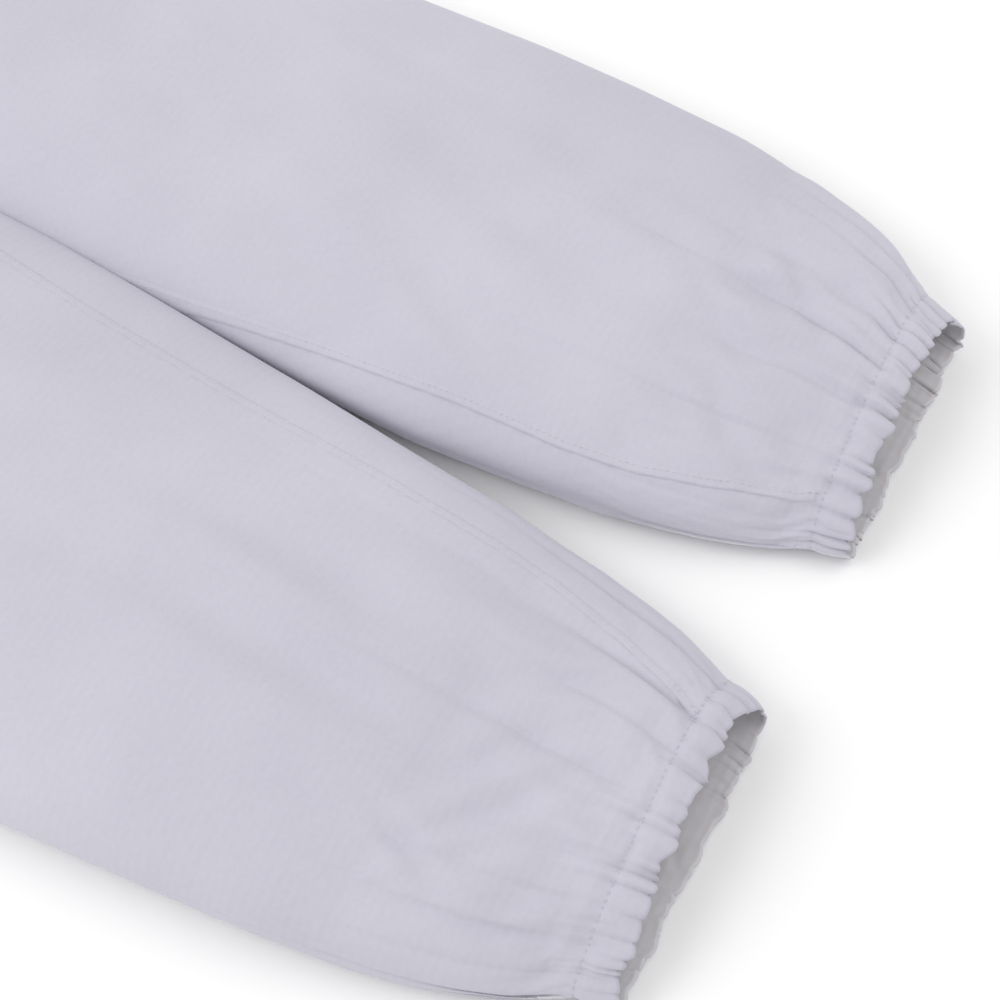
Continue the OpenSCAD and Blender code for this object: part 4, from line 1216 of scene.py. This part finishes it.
def hood_points(ys, angles, inset=0.0, under=0, wrinkle=1.0, seed=77):
    co = np.zeros((len(ys), len(angles) + under, 3))
    a = np.radians(angles)
    u = angles / 180.0 * 0.62
    g1, r1, _ = domes(u, seed, 34, 0.6)
    g2, r2, _ = domes(u, seed + 1, 17, 0.6)
    fx = creases(seed + 2, 14, (-150, 150), (1640, 1880), 80, (30, 70), (7, 12), (0.7, 1.8), 30)
    fx += creases(seed + 3, 8, (-120, 120), (1880, 1960), 15, (30, 60), (7, 12), (0.8, 1.8), 25)
    for j, y in enumerate(ys):
        w, h = hood_size(y)
        w, h = w - inset, h - inset
        sn = np.maximum(np.sin(a), 0)
        x = -w * np.cos(a)
        z = 2.2 + (h - 2.2) * sn ** 0.7
        yc = max(y - 1612, 0)
        d = wrinkle * (1.6 * (g1 - 0.5) * math.exp(-(yc / 11.0) ** 2) + 2.0 * (g2 - 0.6) * np.exp(-(yc / (18 + 22 * r2)) ** 2))
        keep = min(1, max(0, (1978 - y) / 20.0))
        win = float(sstep(1626, 1634, y) * (1 - sstep(1886, 1894, y)))
        fade = 1 - win * np.exp(-((np.minimum(np.abs(angles - 36), np.abs(angles - 144))) / 4.0) ** 2)
        edge = np.exp(-((y - 1634) / 5.0) ** 2) + np.exp(-((y - 1886) / 5.0) ** 2)
        fade = fade * (1 - 0.8 * min(1, edge) * ((angles > 34) & (angles < 146)))
        d = d + wrinkle * keep * fade * np.clip(sn * 1.4, 0, 1) * (fold_height(x, y, fx) + 1.3 * lumps(x, y + z, seed + 6, 120))
        co[j, : len(angles), 0] = x - np.cos(a) * d
        co[j, : len(angles), 1] = y
        co[j, : len(angles), 2] = np.maximum(z + sn * d, 0.6)
        if under:
            t = (np.arange(under) + 1) / (under + 1.0)
            co[j, len(angles):, 0] = w * (1 - 2 * t)
            co[j, len(angles):, 1] = y
            co[j, len(angles):, 2] = 0.7 + 0.25 * np.sin(x[0] + y / 15.0 + 9 * t) ** 2
    return co


hc = hood_points(hys, ta, 0, NB)
C = hc.shape[1]
faces = []
for j in range(len(hys) - 1):
    for i in range(C):
        yc = (hys[j] + hys[j + 1]) / 2
        if i < len(ta) - 1:
            ac = (ta[i] + ta[i + 1]) / 2
            if 36 < ac < 144 and 1634 < yc < 1886:
                continue
        i2 = (i + 1) % C
        faces.append((j * C + i, j * C + i2, (j + 1) * C + i2, (j + 1) * C + i))
last = (len(hys) - 1) * C
faces.append(tuple(last + i for i in range(C)))
hood = make("hood_cloth", (hc / 1000 - np.array([0, OY, 0])).reshape(-1, 3), faces, mats=(CLOTH,))
weld(hood)
thicken(hood, 0.0009, -1, INSIDE_PAINTED_LIGHT)
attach(hood, "hood")
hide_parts("hood_back", "hood_side_left", "hood_side_right", "hood_crown", "hood_chin")
hg = Grid((hc[:, : len(ta)] / 1000 - np.array([0, OY, 0])), (80, 66))
hrow = lambda y: float(np.interp(y, hys, np.arange(len(hys))))
hcol = lambda a: float(np.interp(a, ta, np.arange(len(ta))))
for nm, rc in (("crown", [(hrow(1890), hcol(a)) for a in np.linspace(5, 175, 30)]), ("side_left", [(hrow(y), hcol(172)) for y in (1618, 1700, 1800, 1888)]),
               ("side_right", [(hrow(y), hcol(8)) for y in (1618, 1700, 1800, 1888)])):
    o = grid_seam("hood_seam_" + nm, hg, rc, width=5.5, seed=17)
    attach(o, "hood")
win = [[(hrow(1634) - 3.4, hcol(a)) for a in np.linspace(34, 146, 30)], [(hrow(1886) + 2.6, hcol(a)) for a in np.linspace(34, 146, 30)],
       [(hrow(y), hcol(33)) for y in (1630, 1760, 1890)], [(hrow(y), hcol(147)) for y in (1630, 1760, 1890)]]
o = grid_stitches("veil_edge_stitches", hg, win)
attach(o, "hood")

# the net: single strands crossing each other
NET = cloth_mat("black_net", (0.012, 0.012, 0.014), (0.035, 0.035, 0.040), rough=0.62, sheen=0.1, weave=0.0005, bump=0.5)
vy = np.linspace(1630, 1890, 74)
va = np.linspace(34.5, 145.5, 108)
vc = hood_points(vy, va, 1.4, 0, wrinkle=0.0)
vn = np.zeros_like(vc)
du_ = np.gradient(vc, axis=1); dv_ = np.gradient(vc, axis=0)
vn = np.cross(du_, dv_)
vn /= np.maximum(np.linalg.norm(vn, axis=2, keepdims=True), 1e-9)
if vn[30, 54, 2] < 0:
    vn = -vn
co, f = [], []


def strand(P, N, r, off):
    T = np.gradient(P, axis=0)
    T /= np.maximum(np.linalg.norm(T, axis=1, keepdims=True), 1e-9)
    B = np.cross(N, T)
    b = len(co)
    for i in range(len(P)):
        k = off * (1 if i % 2 else -1)
        for (x, y) in ((-r, -r * 0.6), (r, -r * 0.6), (0, r)):
            co.append((P[i] + B[i] * x + N[i] * (y + k)) / 1000 - np.array([0, OY, 0]))
    for i in range(len(P) - 1):
        for k in range(3):
            f.append((b + i * 3 + k, b + i * 3 + (k + 1) % 3, b + i * 3 + 3 + (k + 1) % 3, b + i * 3 + 3 + k))
    f.append((b, b + 2, b + 1))
    e = b + (len(P) - 1) * 3
    f.append((e, e + 1, e + 2))


for j in range(len(vy)):
    strand(vc[j], vn[j], 0.36, 0.14 if j % 2 else -0.14)
for i in range(len(va)):
    strand(vc[:, i], vn[:, i], 0.36, -0.14 if i % 2 else 0.14)
net = make("veil_net", co, f, mats=(NET,))
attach(net, "hood"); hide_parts("veil")


def hp_(y, a, off):
    w, h = hood_size(y)
    sn = max(0, math.sin(math.radians(a)))
    return np.array([-(w + off) * math.cos(math.radians(a)), y, 2.2 + (h - 2.2 + off) * sn ** 0.7])


hoop = [hp_(1631, a, 6.5) for a in np.linspace(36, 144, 13)] + [hp_(y, 144, 4.7) for y in (1670, 1705, 1740, 1775, 1810, 1845)] + \
       [hp_(1886, a, 3.5) for a in np.linspace(144, 36, 13)] + [hp_(y, 36, 4.7) for y in (1845, 1810, 1775, 1740, 1705, 1670)]
hoop = np.array(hoop)
n0 = len(hoop)
t = np.arange(0, n0, 1 / 10.0)
pts = []
for v in t:
    i = int(v); s_ = v - i
    p0, p1, p2, p3 = (hoop[(i + k) % n0] for k in (-1, 0, 1, 2))
    pts.append(0.5 * (2 * p1 + (p2 - p0) * s_ + (2 * p0 - 5 * p1 + 4 * p2 - p3) * s_ * s_ + (3 * p1 - p0 - 3 * p2 + p3) * s_ ** 3))
pts = np.array(pts)
co, f = [], []
ctr = np.array([0, 1760, 40.0])
K = 20
for i in range(len(pts)):
    d = pts[(i + 1) % len(pts)] - pts[i - 1]
    d /= np.linalg.norm(d)
    up_ = pts[i] - ctr
    u_ = np.cross(d, up_); u_ /= np.linalg.norm(u_)
    v_ = np.cross(u_, d)
    for k in range(K):
        a = 2 * math.pi * k / K
        co.append((pts[i] + 2.45 * (math.cos(a) * u_ + math.sin(a) * v_)) / 1000 - np.array([0, OY, 0]))
for i in range(len(pts)):
    for k in range(K):
        f.append((i * K + k, i * K + (k + 1) % K, ((i + 1) % len(pts)) * K + (k + 1) % K, ((i + 1) % len(pts)) * K + k))
NYLON = metal_mat("white_nylon", (0.70, 0.70, 0.72), (0.80, 0.80, 0.82), 0.42)
NYLON.node_tree.nodes["Principled BSDF"].inputs["Metallic"].default_value = 0.0
hoopo = make("face_hoop_tube", co, f, mats=(NYLON,))
weld(hoopo, 0.00001)
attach(hoopo, "hood"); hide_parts("face_hoop")

sb = hood_points(np.linspace(1896, 1916, 10), np.linspace(14, 166, 90), 5.0, 0, wrinkle=0.12)
swb = make("sweatband_cloth", (sb / 1000 - np.array([0, OY, 0])).reshape(-1, 3), grid_faces(10, 90, False), mats=(ELASTIC,))
thicken(swb, 0.0014, 0)
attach(swb, "hood"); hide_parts("sweatband")

STEEL = metal_mat("steel", (0.50, 0.51, 0.53), (0.66, 0.67, 0.70), 0.30)
for nm, mt in (("zip_stops", BRASS), ("zip_slider", BRASS), ("zip_pull", BRASS), ("neck_slider_left", BRASS), ("neck_slider_right", BRASS),
               ("neck_pull_left", BRASS), ("neck_pull_right", BRASS), ("hoop_joiner", STEEL)):
    o = bpy.data.objects.get(nm)
    if o is None:
        o = next((q for q in bpy.data.objects if q.get("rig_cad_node") == nm), None)
    if o is not None:
        for sl_ in o.material_slots:
            sl_.material = mt
    else:
        print("no node", nm)
# Hide the CAD panels that the cloth halves stand in for, bake the halves and their seams in place, then print each
# cloth piece's area from its faces
for side, nm in ((1, "left"), (-1, "right")):
    ob = HALF[side][2]
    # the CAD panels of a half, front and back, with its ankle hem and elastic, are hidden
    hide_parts(*(["leg_front_" + nm, "leg_back_" + nm, "ankle_hem_" + nm, "ankle_elastic_" + nm, "body_front_" + nm] + (["body_back", "waist_elastic"] if side > 0 else [])))
    for p in [ob] + BLENDS[side]:
        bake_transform(p)
for o in (HALF[1][2], HALF[-1][2], SLEEVE[1], SLEEVE[-1], hood, collar, hood_band, cp, fl_, tp, swb):
    print("AREA", o.name, round(sum(p.area for p in o.data.polygons) / 2, 4))
